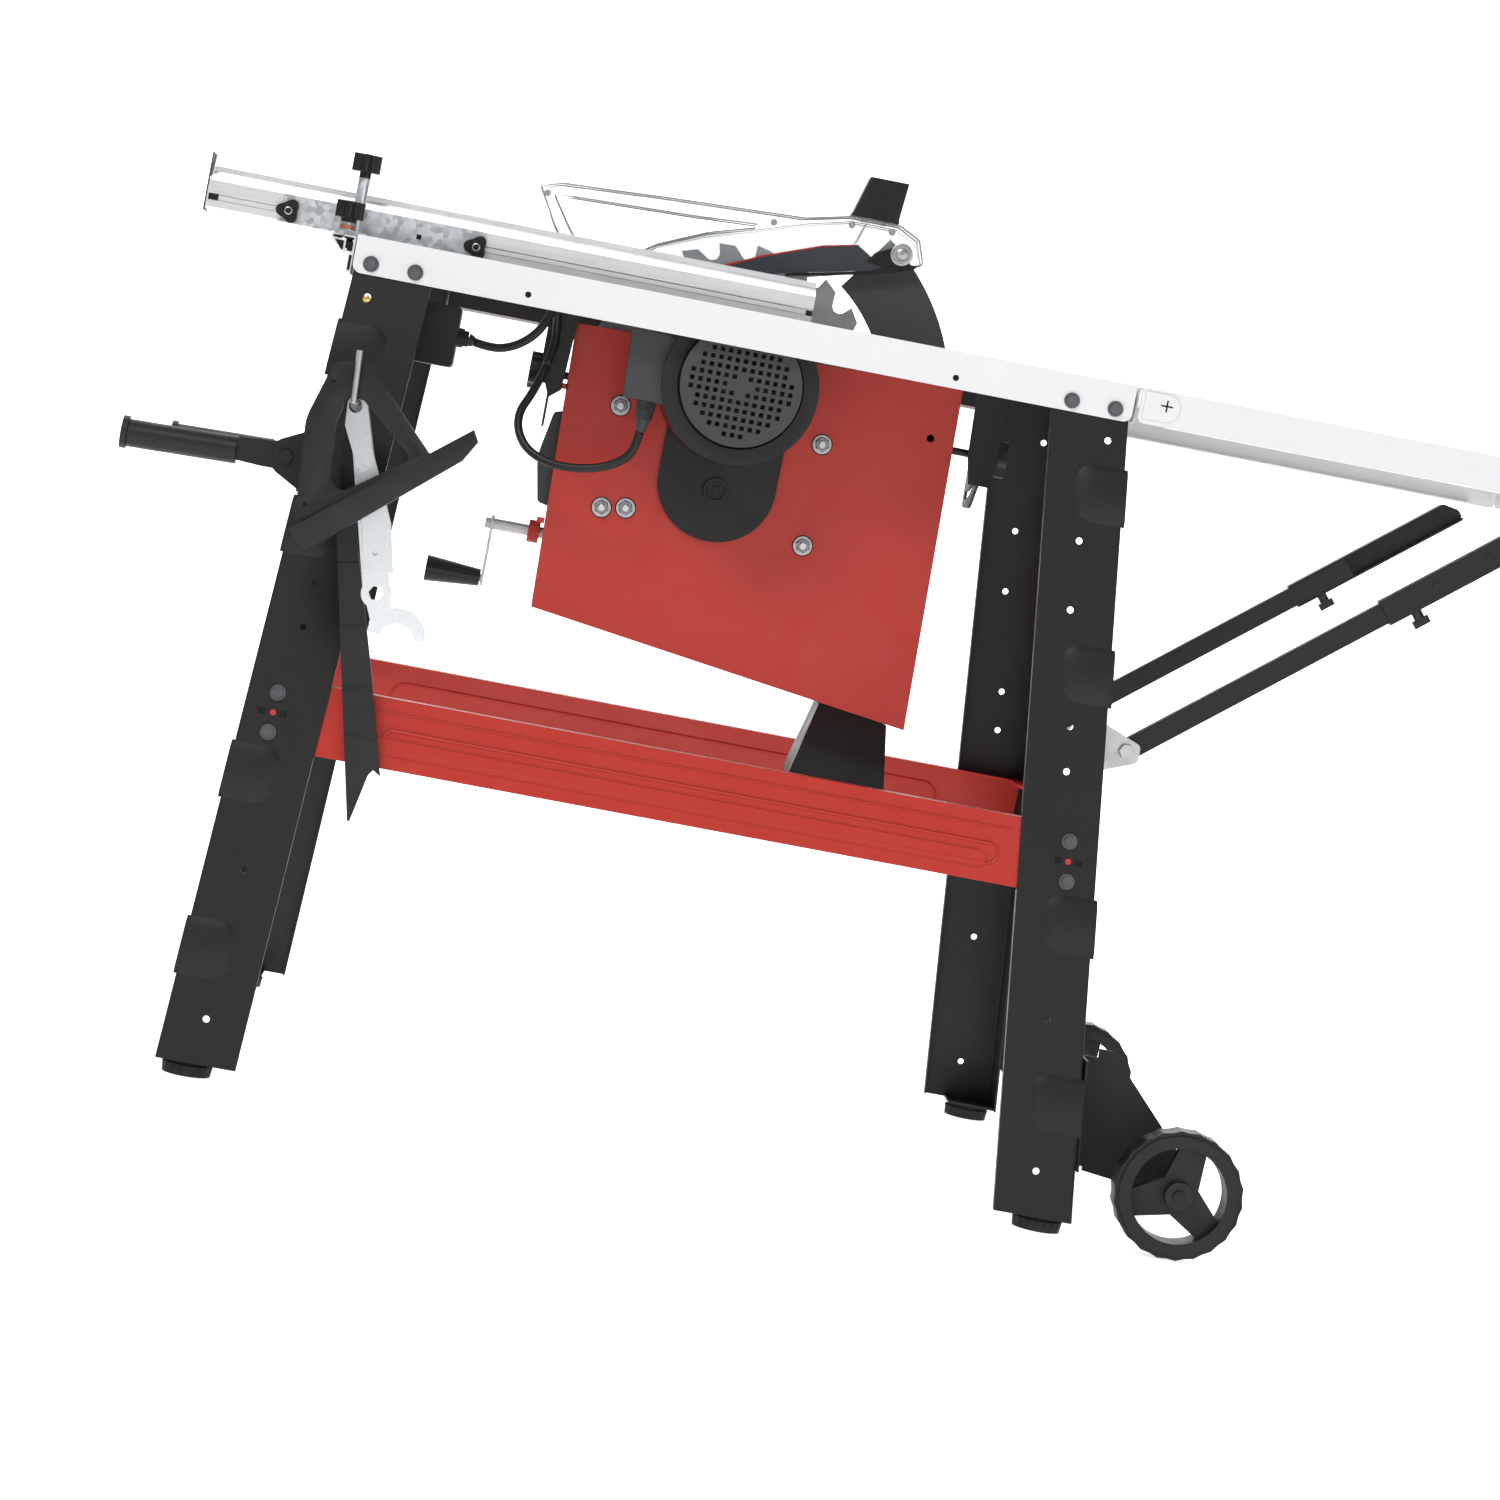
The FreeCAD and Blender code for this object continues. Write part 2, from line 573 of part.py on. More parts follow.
# ---- extension table -------------------------------------------------------------------
def extension_table():
    """Folded sheet extension with hinge ears under its front edge and earth-tag tab."""
    half = TABLE_W / 2
    top = box(EXT_X0, EXT_X1, -half, half, z(-2), z(0))
    parts = [top]
    for side in (-1, 1):
        skirt = [(EXT_X0, -1), (EXT_X1, -1), (EXT_X1, -EXT_APRON, 6), (EXT_X0, -EXT_APRON, 6)]
        parts.append(slab_xz(skirt, side * half, side * (half - 1.6)))
        parts.append(box(EXT_X0 + 30, EXT_X1 - 30, *sorted((side * (half - 1), side * (half - 20))),
                         z(-EXT_APRON), z(-EXT_APRON + 1.6)))
    skirt = [(-half + 8, -1), (half - 8, -1), (half - 8, -EXT_APRON, 5), (-half + 8, -EXT_APRON, 5)]
    parts.append(slab_yz(skirt, EXT_X1 - 1.6, EXT_X1))
    parts.append(slab_yz([(-half + 30, -1), (half - 30, -1), (half - 30, -EXT_APRON, 5), (-half + 30, -EXT_APRON, 5)],
                         EXT_X0, EXT_X0 + 1.6))
    disc = rod((EXT_X0 + 27, -half, z(-17)), (EXT_X0 + 27, -half - 1.6, z(-17)), 14)
    tag = join([disc, box(EXT_X0 + 4, EXT_X0 + 27, -half - 1.6, -half, z(-31), z(-3))])
    parts.append(tag)
    return join(parts)


def table_hinges():
    """Two flat hinges that carry the extension at the table's rear edge."""
    shapes = []
    for y in (-200.0, 200.0):
        knuckle = rod((TABLE_L + EXT_GAP / 2, y - 20, z(-6)), (TABLE_L + EXT_GAP / 2, y + 20, z(-6)), 2.6)
        leaf = box(TABLE_L, TABLE_L + 1.2, y - 20, y + 20, z(-30), z(-6))
        shapes.append(join([knuckle, leaf]))
    return shapes


def strut_point(distance):
    return (STRUT_PIVOT[0] + distance * math.cos(STRUT_ANGLE), STRUT_PIVOT[1] + distance * math.sin(STRUT_ANGLE))


def along_strut(corners):
    """Outline given as (distance along the strut, offset across it), in (x, dz)."""
    out = []
    for corner in corners:
        x, dz = strut_point(corner[0])
        moved = (x - corner[1] * math.sin(STRUT_ANGLE), dz + corner[1] * math.cos(STRUT_ANGLE))
        out.append(moved + tuple(corner[2:]))
    return out


def strut_tubes():
    """Lower strut halves: flat bars pivoted on the rear legs."""
    shapes = []
    for side in (-1, 1):
        y0 = side * STRUT_Y
        bar = slab_xz(along_strut([(-14, -11, 10), (-14, 11, 10), (372, 11), (372, -11)]), y0, y0 - side * 12)
        px, pdz = STRUT_PIVOT
        bar = bar.cut(rod((px, y0 - 20, z(pdz)), (px, y0 + 20, z(pdz)), 5.08))
        shapes.append(bar)
    return group(shapes)


def strut_pivots():
    """Bolts and lugs that hold the struts' lower ends at the rear legs."""
    shapes = []
    px, pdz = STRUT_PIVOT
    for side in (-1, 1):
        y0 = side * STRUT_Y
        x_leg = leg_corner(False, side, z(pdz)).x
        lug_y = sorted((y0 + side * 0.4, y0 + side * 3.4))
        lug = slab_xz([(x_leg + 0.3 - LEG_SPREAD_REAR * 24, pdz + 24), (x_leg + 4 - LEG_SPREAD_REAR * 24, pdz + 24),
                       (px + 14, pdz + 8, 6), (px + 14, pdz - 10, 6),
                       (x_leg + 4 + LEG_SPREAD_REAR * 24, pdz - 24), (x_leg + 0.3 + LEG_SPREAD_REAR * 24, pdz - 24)],
                      lug_y[0], lug_y[1])
        pin = rod((px, y0 + side * 5, z(pdz)), (px, y0 - side * 16, z(pdz)), 5.0)
        head = hexagon((px, y0 + side * 3.4, z(pdz)), (0, side, 0), 14, 6)
        shapes.append(join([lug, pin, head]))
    return shapes


def strut_channels():
    """Upper strut halves: channels that slide over the lower bars."""
    shapes = []
    for side in (-1, 1):
        y_in = side * (STRUT_Y - 12.3)
        y_out = side * (STRUT_Y + 0.3)
        outer = slab_xz(along_strut([(300, -13.6), (300, 13.6), (STRUT_END - 14, 13.6, 10), (STRUT_END, -2, 8),
                                   (STRUT_END, -13.6, 6)]),
                        y_in, y_out + side * 2)
        inner = slab_xz(along_strut([(290, -11.3), (290, 11.3), (STRUT_END + 20, 11.3), (STRUT_END + 20, -11.3)]),
                        y_in - side * 1, y_out)
        channel = outer.cut(inner)
        for distance in (360, 420):
            x, dz = strut_point(distance)
            channel = join([channel, rod((x, y_out + side * 1, z(dz)), (x, y_out + side * 3.2, z(dz)), 4)])
        shapes.append(channel)
    return group(shapes)


def wing_screws():
    shapes = []
    for side in (-1, 1):
        x, dz = strut_point(330)
        drop = (math.sin(STRUT_ANGLE), -math.cos(STRUT_ANGLE))
        y = side * (STRUT_Y - 6)
        start = (x + drop[0] * 13.7, y, z(dz + drop[1] * 13.7))
        neck = (x + drop[0] * 22, y, z(dz + drop[1] * 22))
        head = (x + drop[0] * 30, y, z(dz + drop[1] * 30))
        wing = rod(neck, head, 9).common(box(x - 40, x + 60, y - 3, y + 3, z(dz - 60), z(dz + 20)))
        shapes.append(join([rod(start, neck, 5.5), wing]))
    return group(shapes)


# ---- tilting saw unit ------------------------------------------------------------------
HOUSING = [(231, -40), (642, -30), (649, -395), (239, -340)]


def saw_housing():
    """Folded sheet housing: motor-side panel, two end walls and a sloping floor."""
    s = HOUSING_SHEET
    outer = slab_xz(HOUSING, PANEL_Y, COVER_Y - 0.2)
    inner = slab_xz([(231 + s, -20), (642 - s, -20), (649 - s, -395 + s), (239 + s, -340 + s)], PANEL_Y + s, COVER_Y + 5)
    shell = outer.cut(inner)
    bevel = slab_yz([(-6, 1), (60, 1), (60, -67), (-6, -1)], 200, 700)
    shell = shell.cut(bevel)
    slot = slab_xz([(BLADE_X - 52, -10), (BLADE_X + 52, -10), (BLADE_X + 52, -189, 51), (BLADE_X - 52, -189, 51)],
                   PANEL_Y - 1, PANEL_Y + s + 1)
    shell = shell.cut(slot)
    shell = shell.cut(box(560, 636, -44, 32, z(-420), z(-360)))
    boss = rod((233, SCREW_Y, z(CRANK_DZ)), (221, SCREW_Y, z(CRANK_DZ)), 12)
    bearing = box(331, 359, PANEL_Y + s - 0.5, -34, z(-243), z(-231))
    shell = join([shell, boss, bearing])
    shell = shell.cut(rod((210, SCREW_Y, z(CRANK_DZ)), (250, SCREW_Y, z(CRANK_DZ)), 6.08))
    shell = shell.cut(rod((SCREW_X, SCREW_Y, z(-250)), (SCREW_X, SCREW_Y, z(-220)), 7.08))
    shell = shell.cut(rod((618, PANEL_Y - 1, z(-88)), (618, PANEL_Y + 4, z(-88)), 4))
    for x in (220, 640):
        shell = shell.cut(rod((x, TILT_BOLT_Y, z(TILT_BOLT_DZ)), (x + 25, TILT_BOLT_Y, z(TILT_BOLT_DZ)), 4.08))
    return shell


def housing_cover():
    """Flat far panel that closes the housing and gives access to the blade."""
    return slab_xz([(232, -64), (640, -64), (648, -394), (240, -339)], COVER_Y, COVER_Y + HOUSING_SHEET)


def guide_columns():
    """Two round columns held by end blocks on the panel; the lift carriage slides on them."""
    shapes = []
    for x in COLUMN_X:
        column = rod((x, COLUMN_Y, z(-236)), (x, COLUMN_Y, z(-104)), 8)
        for dz in (-116, -224):
            column = join([column, box(x - 12, x + 12, PANEL_Y + HOUSING_SHEET, COLUMN_Y + 12, z(dz - 6), z(dz + 6))])
            nut = join([rod((x, PANEL_Y, z(dz)), (x, PANEL_Y - 1.5, z(dz)), 10),
                        hexagon((x, PANEL_Y - 1.5, z(dz)), (0, -1, 0), 13, 6),
                        rod((x, PANEL_Y - 7.5, z(dz)), (x, PANEL_Y - 10, z(dz)), 4)])
            shapes.append(nut)
        shapes.append(column)
    spare = join([rod((317, PANEL_Y, z(-220)), (317, PANEL_Y - 1.5, z(-220)), 10),
                  hexagon((317, PANEL_Y - 1.5, z(-220)), (0, -1, 0), 13, 6)])
    shapes.append(spare)
    return group(shapes)


DUST_PORT_R = 50.0


def dust_chute():
    """Funnel under the housing that ends in the round extraction port."""
    x_mid, y_mid = 595.0, -6.0
    top_dz, port_dz, end_dz = -375.0, -466.0, -500.0

    def ring(x0, x1, y0, y1, dz):
        return Part.makePolygon([V(x0, y0, z(dz)), V(x1, y0, z(dz)), V(x1, y1, z(dz)), V(x0, y1, z(dz)), V(x0, y0, z(dz))])
    funnel = Part.makeLoft([ring(563, 633, -42, 30, top_dz), ring(541, 645, -60, 48, port_dz)], True, True)
    funnel = funnel.cut(slab_xz([(500, -378.2), (700, -405.0), (700, -300), (500, -300)], -100, 100))
    port = rod((x_mid, y_mid, z(port_dz)), (x_mid, y_mid, z(end_dz)), DUST_PORT_R + 3)
    throat = cone((x_mid, y_mid, z(port_dz)), (x_mid, y_mid, z(top_dz)), DUST_PORT_R, 30)
    bore = rod((x_mid, y_mid, z(port_dz)), (x_mid, y_mid, z(end_dz - 2)), DUST_PORT_R)
    return join([funnel, port]).cut(throat).cut(bore)


def crank_cover():
    """Bowed moulding on the housing's front wall, beside the bevel scale."""
    bow = slab_xz([(236, -132), (225, -135, 5), (216, -184, 60), (225, -231, 5), (240, -234)], -98, -30)
    return bow.cut(slab_xz([(230.9, -38), (700, -38), (700, -340), (238.9, -340)], -120, 0))


def star_knob(face_x, out):
    """Tilt lock: lobed knob, collar and clamp bolt through the bracket slot and the wall."""
    start = (face_x, TILT_BOLT_Y, z(TILT_BOLT_DZ))
    axis = (out, 0, 0)
    stem_end = face_x - out * 6
    knob = lobed((stem_end + out * 14, TILT_BOLT_Y, z(TILT_BOLT_DZ)), axis, 20, 5, 5, 14)
    collar = rod((face_x, TILT_BOLT_Y, z(TILT_BOLT_DZ)), (stem_end + out * 14, TILT_BOLT_Y, z(TILT_BOLT_DZ)), 9)
    bolt = rod(start, (face_x - out * 38, TILT_BOLT_Y, z(TILT_BOLT_DZ)), 4.0)
    return join([knob, collar, bolt])


def lead_screw():
    """Vertical lifting screw with the driven mitre gear on its lower end."""
    low = CRANK_DZ + 8
    gear = cone((SCREW_X, SCREW_Y, z(low)), (SCREW_X, SCREW_Y, z(low + 8)), 8 - 0.4, GEAR_R - 0.4)
    screw = rod((SCREW_X, SCREW_Y, z(low)), (SCREW_X, SCREW_Y, z(-106)), 7.0)
    return join([gear, screw])


def height_crank():
    """Crank shaft with mitre gear, flat arm and the grip's spindle."""
    gear = cone((SCREW_X - 8 - 8, SCREW_Y, z(CRANK_DZ)), (SCREW_X - 8, SCREW_Y, z(CRANK_DZ)), GEAR_R - 0.4, 8 - 0.4)
    shaft = rod((181, SCREW_Y, z(CRANK_DZ)), (SCREW_X - 8, SCREW_Y, z(CRANK_DZ)), 6.0)
    nut = hexagon((181, SCREW_Y, z(CRANK_DZ)), (-1, 0, 0), 11, 6)
    arm = slab_yz([(SCREW_Y - 8, CRANK_DZ + 9, 7), (SCREW_Y + 8, CRANK_DZ + 9, 7), (SCREW_Y + 7, CRANK_DZ - 67, 6),
                   (SCREW_Y - 7, CRANK_DZ - 67, 6)], 181, 184)
    spindle = rod((184, SCREW_Y, z(CRANK_DZ - 59)), (124, SCREW_Y, z(CRANK_DZ - 59)), 4.0)
    return join([gear, shaft, nut, arm, spindle])


def crank_grip():
    grip = cone((180, SCREW_Y, z(CRANK_DZ - 59)), (122, SCREW_Y, z(CRANK_DZ - 59)), 9, 14)
    return grip.cut(rod((181, SCREW_Y, z(CRANK_DZ - 59)), (123.5, SCREW_Y, z(CRANK_DZ - 59)), 4.08))


# ---- lift unit: motor, blade, riving knife ---------------------------------------------
def motor_housing():
    """Motor casing round the stator, flattened on top to clear the table, with its flange."""
    axis_z = z(BLADE_DZ)
    outer = rod((BLADE_X, MOTOR_Y0, axis_z), (BLADE_X, MOTOR_Y1, axis_z), MOTOR_R)
    outer = outer.cut(box(300, 520, -300, 0, z(-8), z(50)))
    neck = rod((BLADE_X, MOTOR_Y0, axis_z), (BLADE_X, -76, axis_z), 45)
    body = join([outer, neck])
    cavity = rod((BLADE_X, MOTOR_Y0 - 5, axis_z), (BLADE_X, MOTOR_Y1 - 1, axis_z), 64)
    bore = rod((BLADE_X, -70, axis_z), (BLADE_X, MOTOR_Y0 - 6, axis_z), 15.08)
    return body.cut(join([cavity, bore]))


def fan_cover():
    """Cap over the motor's end with a grid of square air holes."""
    axis_z = z(BLADE_DZ)
    cap = rod((BLADE_X, MOTOR_Y1, axis_z), (BLADE_X, FAN_Y, axis_z), 62)
    cap = cap.cut(rod((BLADE_X, MOTOR_Y1 + 1, axis_z), (BLADE_X, FAN_Y + 2.5, axis_z), 58))
    pitch, hole = 8.4, 4.6
    holes = []
    for i in range(-6, 7):
        for j in range(-6, 7):
            if 9 < math.hypot(i * pitch, j * pitch) < 53:
                holes.append(box(BLADE_X + i * pitch - hole / 2, BLADE_X + i * pitch + hole / 2, FAN_Y - 1, FAN_Y + 4,
                                 axis_z + j * pitch - hole / 2, axis_z + j * pitch + hole / 2))
    return cap.cut(Part.makeCompound(holes))


def stator():
    axis_z = z(BLADE_DZ)
    ring = rod((BLADE_X, MOTOR_Y0 - 22, axis_z), (BLADE_X, MOTOR_Y1 + 36, axis_z), 63.9)
    return ring.cut(rod((BLADE_X, MOTOR_Y0 - 20, axis_z), (BLADE_X, MOTOR_Y1 + 30, axis_z), 36))


def motor_shaft():
    """Rotor core on the through shaft, stepped to the blade seat, with flange and nut."""
    axis_z = z(BLADE_DZ)
    core = rod((BLADE_X, MOTOR_Y0 - 22, axis_z), (BLADE_X, MOTOR_Y1 + 36, axis_z), 35.4)
    shaft = rod((BLADE_X, MOTOR_Y1 + 4, axis_z), (BLADE_X, -BLADE_T / 2, axis_z), ARBOR_R)
    inner = rod((BLADE_X, -9, axis_z), (BLADE_X, -BLADE_T / 2, axis_z), 32)
    seat = rod((BLADE_X, -BLADE_T / 2, axis_z), (BLADE_X, BLADE_T / 2, axis_z), ARBOR_R)
    outer = rod((BLADE_X, BLADE_T / 2, axis_z), (BLADE_X, 8, axis_z), 32)
    nut = hexagon((BLADE_X, 8, axis_z), (0, 1, 0), 30, 12)
    end = rod((BLADE_X, 20, axis_z), (BLADE_X, 26, axis_z), 9)
    return join([core, shaft, inner, seat, outer, nut, end])


def cooling_fan():
    axis_z = z(BLADE_DZ)
    hub = rod((BLADE_X, MOTOR_Y1 + 24, axis_z), (BLADE_X, MOTOR_Y1 + 6, axis_z), 20)
    blades = []
    for i in range(7):
        vane = box(BLADE_X + 18, BLADE_X + 54, MOTOR_Y1 + 6, MOTOR_Y1 + 22, axis_z - 1.2, axis_z + 1.2)
        vane.rotate(V(BLADE_X, 0, axis_z), V(0, 1, 0), 360 / 7 * i)
        blades.append(vane)
    return join([hub] + blades).cut(rod((BLADE_X, -300, axis_z), (BLADE_X, 0, axis_z), ARBOR_R))


def terminal_box():
    """Connection box on the motor's front side, with the cable gland below."""
    body = slab_xz([(288, -38, 3), (326, -38), (340, -46), (340, -108, 3), (291, -108, 4)], -238, -172)
    body = body.cut(rod((BLADE_X, -300, z(BLADE_DZ)), (BLADE_X, -100, z(BLADE_DZ)), MOTOR_R))
    gland = join([hexagon((316, -204, z(-108)), (0.02, 0, -1), 20, 10),
                  rod((316, -204, z(-117)), (316, -204, z(-126)), 9),
                  cone((316, -204, z(-126)), (314.8, -203.4, z(-140)), 7.5, 5.0)])
    return join([body, gland])


def slot_cover():
    """Pear-shaped shield that travels with the motor and covers the panel's slot."""
    y0 = MOTOR_Y0 + 0.0
    plate = slab_xz([(BLADE_X - 62, -30, 30), (BLADE_X + 64, -30, 30), (BLADE_X + 62, -238, 61),
                     (BLADE_X - 62, -238, 61)], y0 + 0.4, PANEL_Y - 0.8)
    plate = plate.cut(rod((BLADE_X, -130, z(BLADE_DZ)), (BLADE_X, -100, z(BLADE_DZ)), 45))
    rim = rod((BLADE_X, y0 + 0.4, z(-184)), (BLADE_X, y0 - 3, z(-184)), 13)
    rim = rim.cut(rod((BLADE_X, y0 + 0.0, z(-184)), (BLADE_X, y0 - 5, z(-184)), 10))
    screw = hexagon((BLADE_X, y0 + 0.4, z(-184)), (0, -1, 0), 8, 2)
    return join([plate, rim, screw])


def motor_carriage():
    """Plate behind the panel with the motor's clamp ring, two sleeves, a nut and the knife arm."""
    y0, y1 = -74.0, -66.0
    plate = slab_xz([(276, -62, 6), (524, -62, 6), (524, -112), (612, -112, 6), (612, -150, 6), (524, -150),
                     (524, -168, 6), (276, -168, 6)], y0, y1)
    plate = plate.cut(rod((BLADE_X, -120, z(BLADE_DZ)), (BLADE_X, -60, z(BLADE_DZ)), 22))
    pieces = [plate]
    for x in COLUMN_X:
        pieces.append(rod((x, COLUMN_Y, z(-162)), (x, COLUMN_Y, z(-123.5)), 14))
    nut = box(SCREW_X - 13, SCREW_X + 13, y1 - 1, SCREW_Y + 13, z(-165), z(-141))
    knife_block = box(584, 612, y1 - 1, -KNIFE_T / 2, z(-148), z(-114))
    body = join(pieces + [nut, knife_block])
    for x in COLUMN_X:
        body = body.cut(rod((x, COLUMN_Y, z(-170)), (x, COLUMN_Y, z(-100)), 8.08))
    return body.cut(rod((SCREW_X, SCREW_Y, z(-180)), (SCREW_X, SCREW_Y, z(-120)), 7.08))


def saw_blade():
    """Disc with coarse teeth, deep rounded gullets and carbide tips."""
    teeth = 24
    centre = V(BLADE_X, -BLADE_T / 2, z(BLADE_DZ))

    def polar(radius, degrees):
        angle = math.radians(degrees)
        return centre + V(radius * math.cos(angle), 0, radius * math.sin(angle))
    edges = []
    tips = []
    pitch = 360 / teeth
    for i in range(teeth):
        a = i * pitch
        # Teeth point against the feed at the front of the blade, so the disc cuts downward there.
        tip = polar(BLADE_R, a)
        heel = polar(BLADE_R - 3, a - pitch * 0.42)
        low_rear = polar(BLADE_R - 13, a - pitch * 0.60)
        bottom = polar(BLADE_R - 17, a - pitch * 0.80)
        front_low = polar(BLADE_R - 11, a - pitch * 0.985)
        next_tip = polar(BLADE_R, a - pitch)
        edges.append(Part.LineSegment(tip, heel).toShape())
        edges.append(Part.LineSegment(heel, low_rear).toShape())
        edges.append(Part.Arc(low_rear, bottom, front_low).toShape())
        edges.append(Part.LineSegment(front_low, next_tip).toShape())
        carbide = face([(BLADE_R - 9, 0), (BLADE_R, 0), (BLADE_R - 0.6, -3), (BLADE_R - 9, -3)],
                       lambda p: V(BLADE_X + p.x, -1.6, z(BLADE_DZ) + p.y)).extrude(V(0, 3.2, 0))
        carbide.rotate(V(BLADE_X, 0, z(BLADE_DZ)), V(0, 1, 0), -a)
        tips.append(carbide)
    edges.reverse()
    disc = Part.Face(Part.Wire(Part.__sortEdges__(edges))).extrude(V(0, BLADE_T, 0))
    if disc.Volume < 0:
        disc.reverse()
    blade = join([disc] + tips)
    return blade.cut(rod((BLADE_X, -5, z(BLADE_DZ)), (BLADE_X, 5, z(BLADE_DZ)), ARBOR_R))


def riving_knife():
    """Curved blade behind the saw disc that carries the guard's pivot."""
    ring = rod((BLADE_X, -KNIFE_T / 2, z(BLADE_DZ)), (BLADE_X, KNIFE_T / 2, z(BLADE_DZ)), KNIFE_OUT)
    ring = ring.cut(rod((BLADE_X, -5, z(BLADE_DZ)), (BLADE_X, 5, z(BLADE_DZ)), KNIFE_IN))
    reach = 400.0
    start, end = math.radians(-22), math.radians(54)
    wedge = [(BLADE_X, BLADE_DZ)]
    for i in range(4):
        angle = start + (end - start) * i / 3
        wedge.append((BLADE_X + reach * math.cos(angle), BLADE_DZ + reach * math.sin(angle)))
    knife = ring.common(slab_xz(wedge, -5, 5))
    knife = knife.common(box(500, 630, -5, 5, z(-200), z(200)))
    return knife.cut(rod((GUARD_PIVOT[0], -5, z(GUARD_PIVOT[1])), (GUARD_PIVOT[0], 5, z(GUARD_PIVOT[1])), 4.05))


def guard_bolt():
    """Pivot bolt through the guard and the knife, with its knob on the motor side."""
    x, dz = GUARD_PIVOT
    pin = rod((x, -GUARD_HALF - 3, z(dz)), (x, GUARD_HALF + 3, z(dz)), 4.0)
    head = rod((x, -GUARD_HALF - 3, z(dz)), (x, -GUARD_HALF - 9, z(dz)), 9)
    nut = hexagon((x, GUARD_HALF + 3, z(dz)), (0, 1, 0), 13, 6)
    return join([pin, head, nut])


GUARD_OUTLINE = [(165, 99, 5), (190, 107, 10), (450, 119), (498, 131, 12), (552, 131, 8), (575, 120, 8), (584, 94, 6),
                 (552, 83, 6), (480, 64), (400, 43.3), (372, 37.5),
                 (258, 18.5, 3), (220, 18.5, 3), (189, 60)]
GUARD_WINDOW = [(183, 94, 4), (330, 99), (402, 104, 2), (400, 98, 2), (350, 84),
                (300, 62), (262, 36), (240, 27, 4), (226, 30, 3),
                (204, 62)]


def blade_guard():
    """Clear guard: a hollow shell over the blade with a long open frame in front."""
    body = slab_xz(GUARD_OUTLINE, -GUARD_HALF, GUARD_HALF)
    body = body.cut(slab_xz(GUARD_WINDOW, -30, 30))
    hollow = [(270, -10), (276, 38), (300, 56), (350, 79), (402, 96), (452, 112), (500, 125), (550, 125), (573, 114),
              (581.2, 91), (600, 60), (600, -10)]
    body = body.cut(slab_xz(hollow, -GUARD_HALF + 2.5, GUARD_HALF - 2.5))
    x, dz = GUARD_PIVOT
    body = body.cut(rod((x, -30, z(dz)), (x, 30, z(dz)), 4.08))
    base = (523.0, 128.0)
    body = body.cut(rod((base[0], 0, z(100)), (base[0], 0, z(140)), 13.9))
    return body


def dust_adapter():
    """Angled hose spigot on top of the guard."""
    lean = (0.17, 0, 1)
    low = V(523, 0, z(131.2))
    outer = Part.makeCone(24, 20.5, 44, low, V(*lean))
    flange = Part.makeCylinder(16.5, 3, V(523, 0, z(131.2)), V(0, 0, 1))
    plug = rod((523, 0, z(126)), (523, 0, z(134)), 13.8)
    body = join([outer, flange, plug])
    body = body.cut(box(480, 570, -40, 40, z(125), z(131.2)).cut(rod((523, 0, z(120)), (523, 0, z(140)), 13.8)))
    body = body.cut(rod((523, 0, z(120)), (523, 0, z(136)), 11.5))
    return body.cut(Part.makeCylinder(17.5, 60, V(523, 0, z(134)), V(*lean)))


# ---- fence -----------------------------------------------------------------------------
FENCE_Y = (-188.0, -152.0)


def fence_bracket():
    """Galvanised angle plate with the carrier that runs on the guide rail."""
    plate = slab_xz([(-86, 2.2), (124, 2.2), (124, 30, 3), (-86, 30, 3)], -191, -188.3)
    foot = box(-28, 6, -238, -188.3, z(0.5), z(3.2))
    saddle = box(-26, -1, -238, -186, z(-2.8), z(0.5))
    post = rod((-8, -197, z(3.2)), (-8, -197, z(60)), 6.0)
    post = post.cut(rod((-8, -197, z(40)), (-8, -197, z(61)), 3.08))
    stud = rod((-15, -220, z(3.2)), (-15, -220, z(12)), 4)
    pad = rod((-15, -220, z(3.2)), (-15, -220, z(7)), 7)
    body = join([plate, foot, saddle, post, stud, pad])
    for x in (-78, 116):
        body = body.cut(rod((x, -195, z(13)), (x, -185, z(13)), 3.08))
    return body


def rip_fence():
    """Aluminium fence: tall web, stepped hollow section on the right, end plate in front."""
    y0, y1 = FENCE_Y
    outline = [(y0, 2.5), (y1, 2.5), (y1, 46), (y1 - 6, 46), (y1 - 6, 40), (y0 + 14, 36), (y0, 30)]
    bar = face(outline, lambda p: V(FENCE_X0 + 2, p.x, z(p.y))).extrude(V(FENCE_X1 - FENCE_X0 - 2, 0, 0))
    void = [(y0 + 2.5, 5), (y1 - 2.5, 5), (y1 - 2.5, 38), (y1 - 8.5, 36.5), (y0 + 14, 33), (y0 + 2.5, 28)]
    bar = bar.cut(face(void, lambda p: V(FENCE_X0 - 10, p.x, z(p.y))).extrude(V(700, 0, 0)))
    bar = bar.cut(box(FENCE_X0, FENCE_X1 + 1, y0 - 1, y0 + 5, z(9.9), z(16.1)))
    end = slab_yz([(y0, 0.6), (y1 + 1, 0.6), (y1 + 1, 58, 4), (y1 - 14, 58, 4), (y0, 32, 4)], FENCE_X0, FENCE_X0 + 2)
    return join([bar, end])


def fence_nut(x):
    """Three-lobed clamp nut with its bolt through bracket and fence."""
    y = -191.2
    head = lobed((x, y - 1.5, z(13)), (0, -1, 0), 13, 4, 3, 7)
    collar = rod((x, y, z(13)), (x, y - 2, z(13)), 7)
    bolt = rod((x, y - 10, z(13)), (x, FENCE_Y[0] + 4, z(13)), 3.0)
    return join([head, collar, bolt])


def clamp_knob():
    """Star knob that clamps the fence carrier to the rail."""
    knob = lobed((-15, -220, z(16)), (0, 0, 1), 16, 4, 6, 17)
    collar = rod((-15, -220, z(12.1)), (-15, -220, z(16)), 8)
    return join([knob, collar])


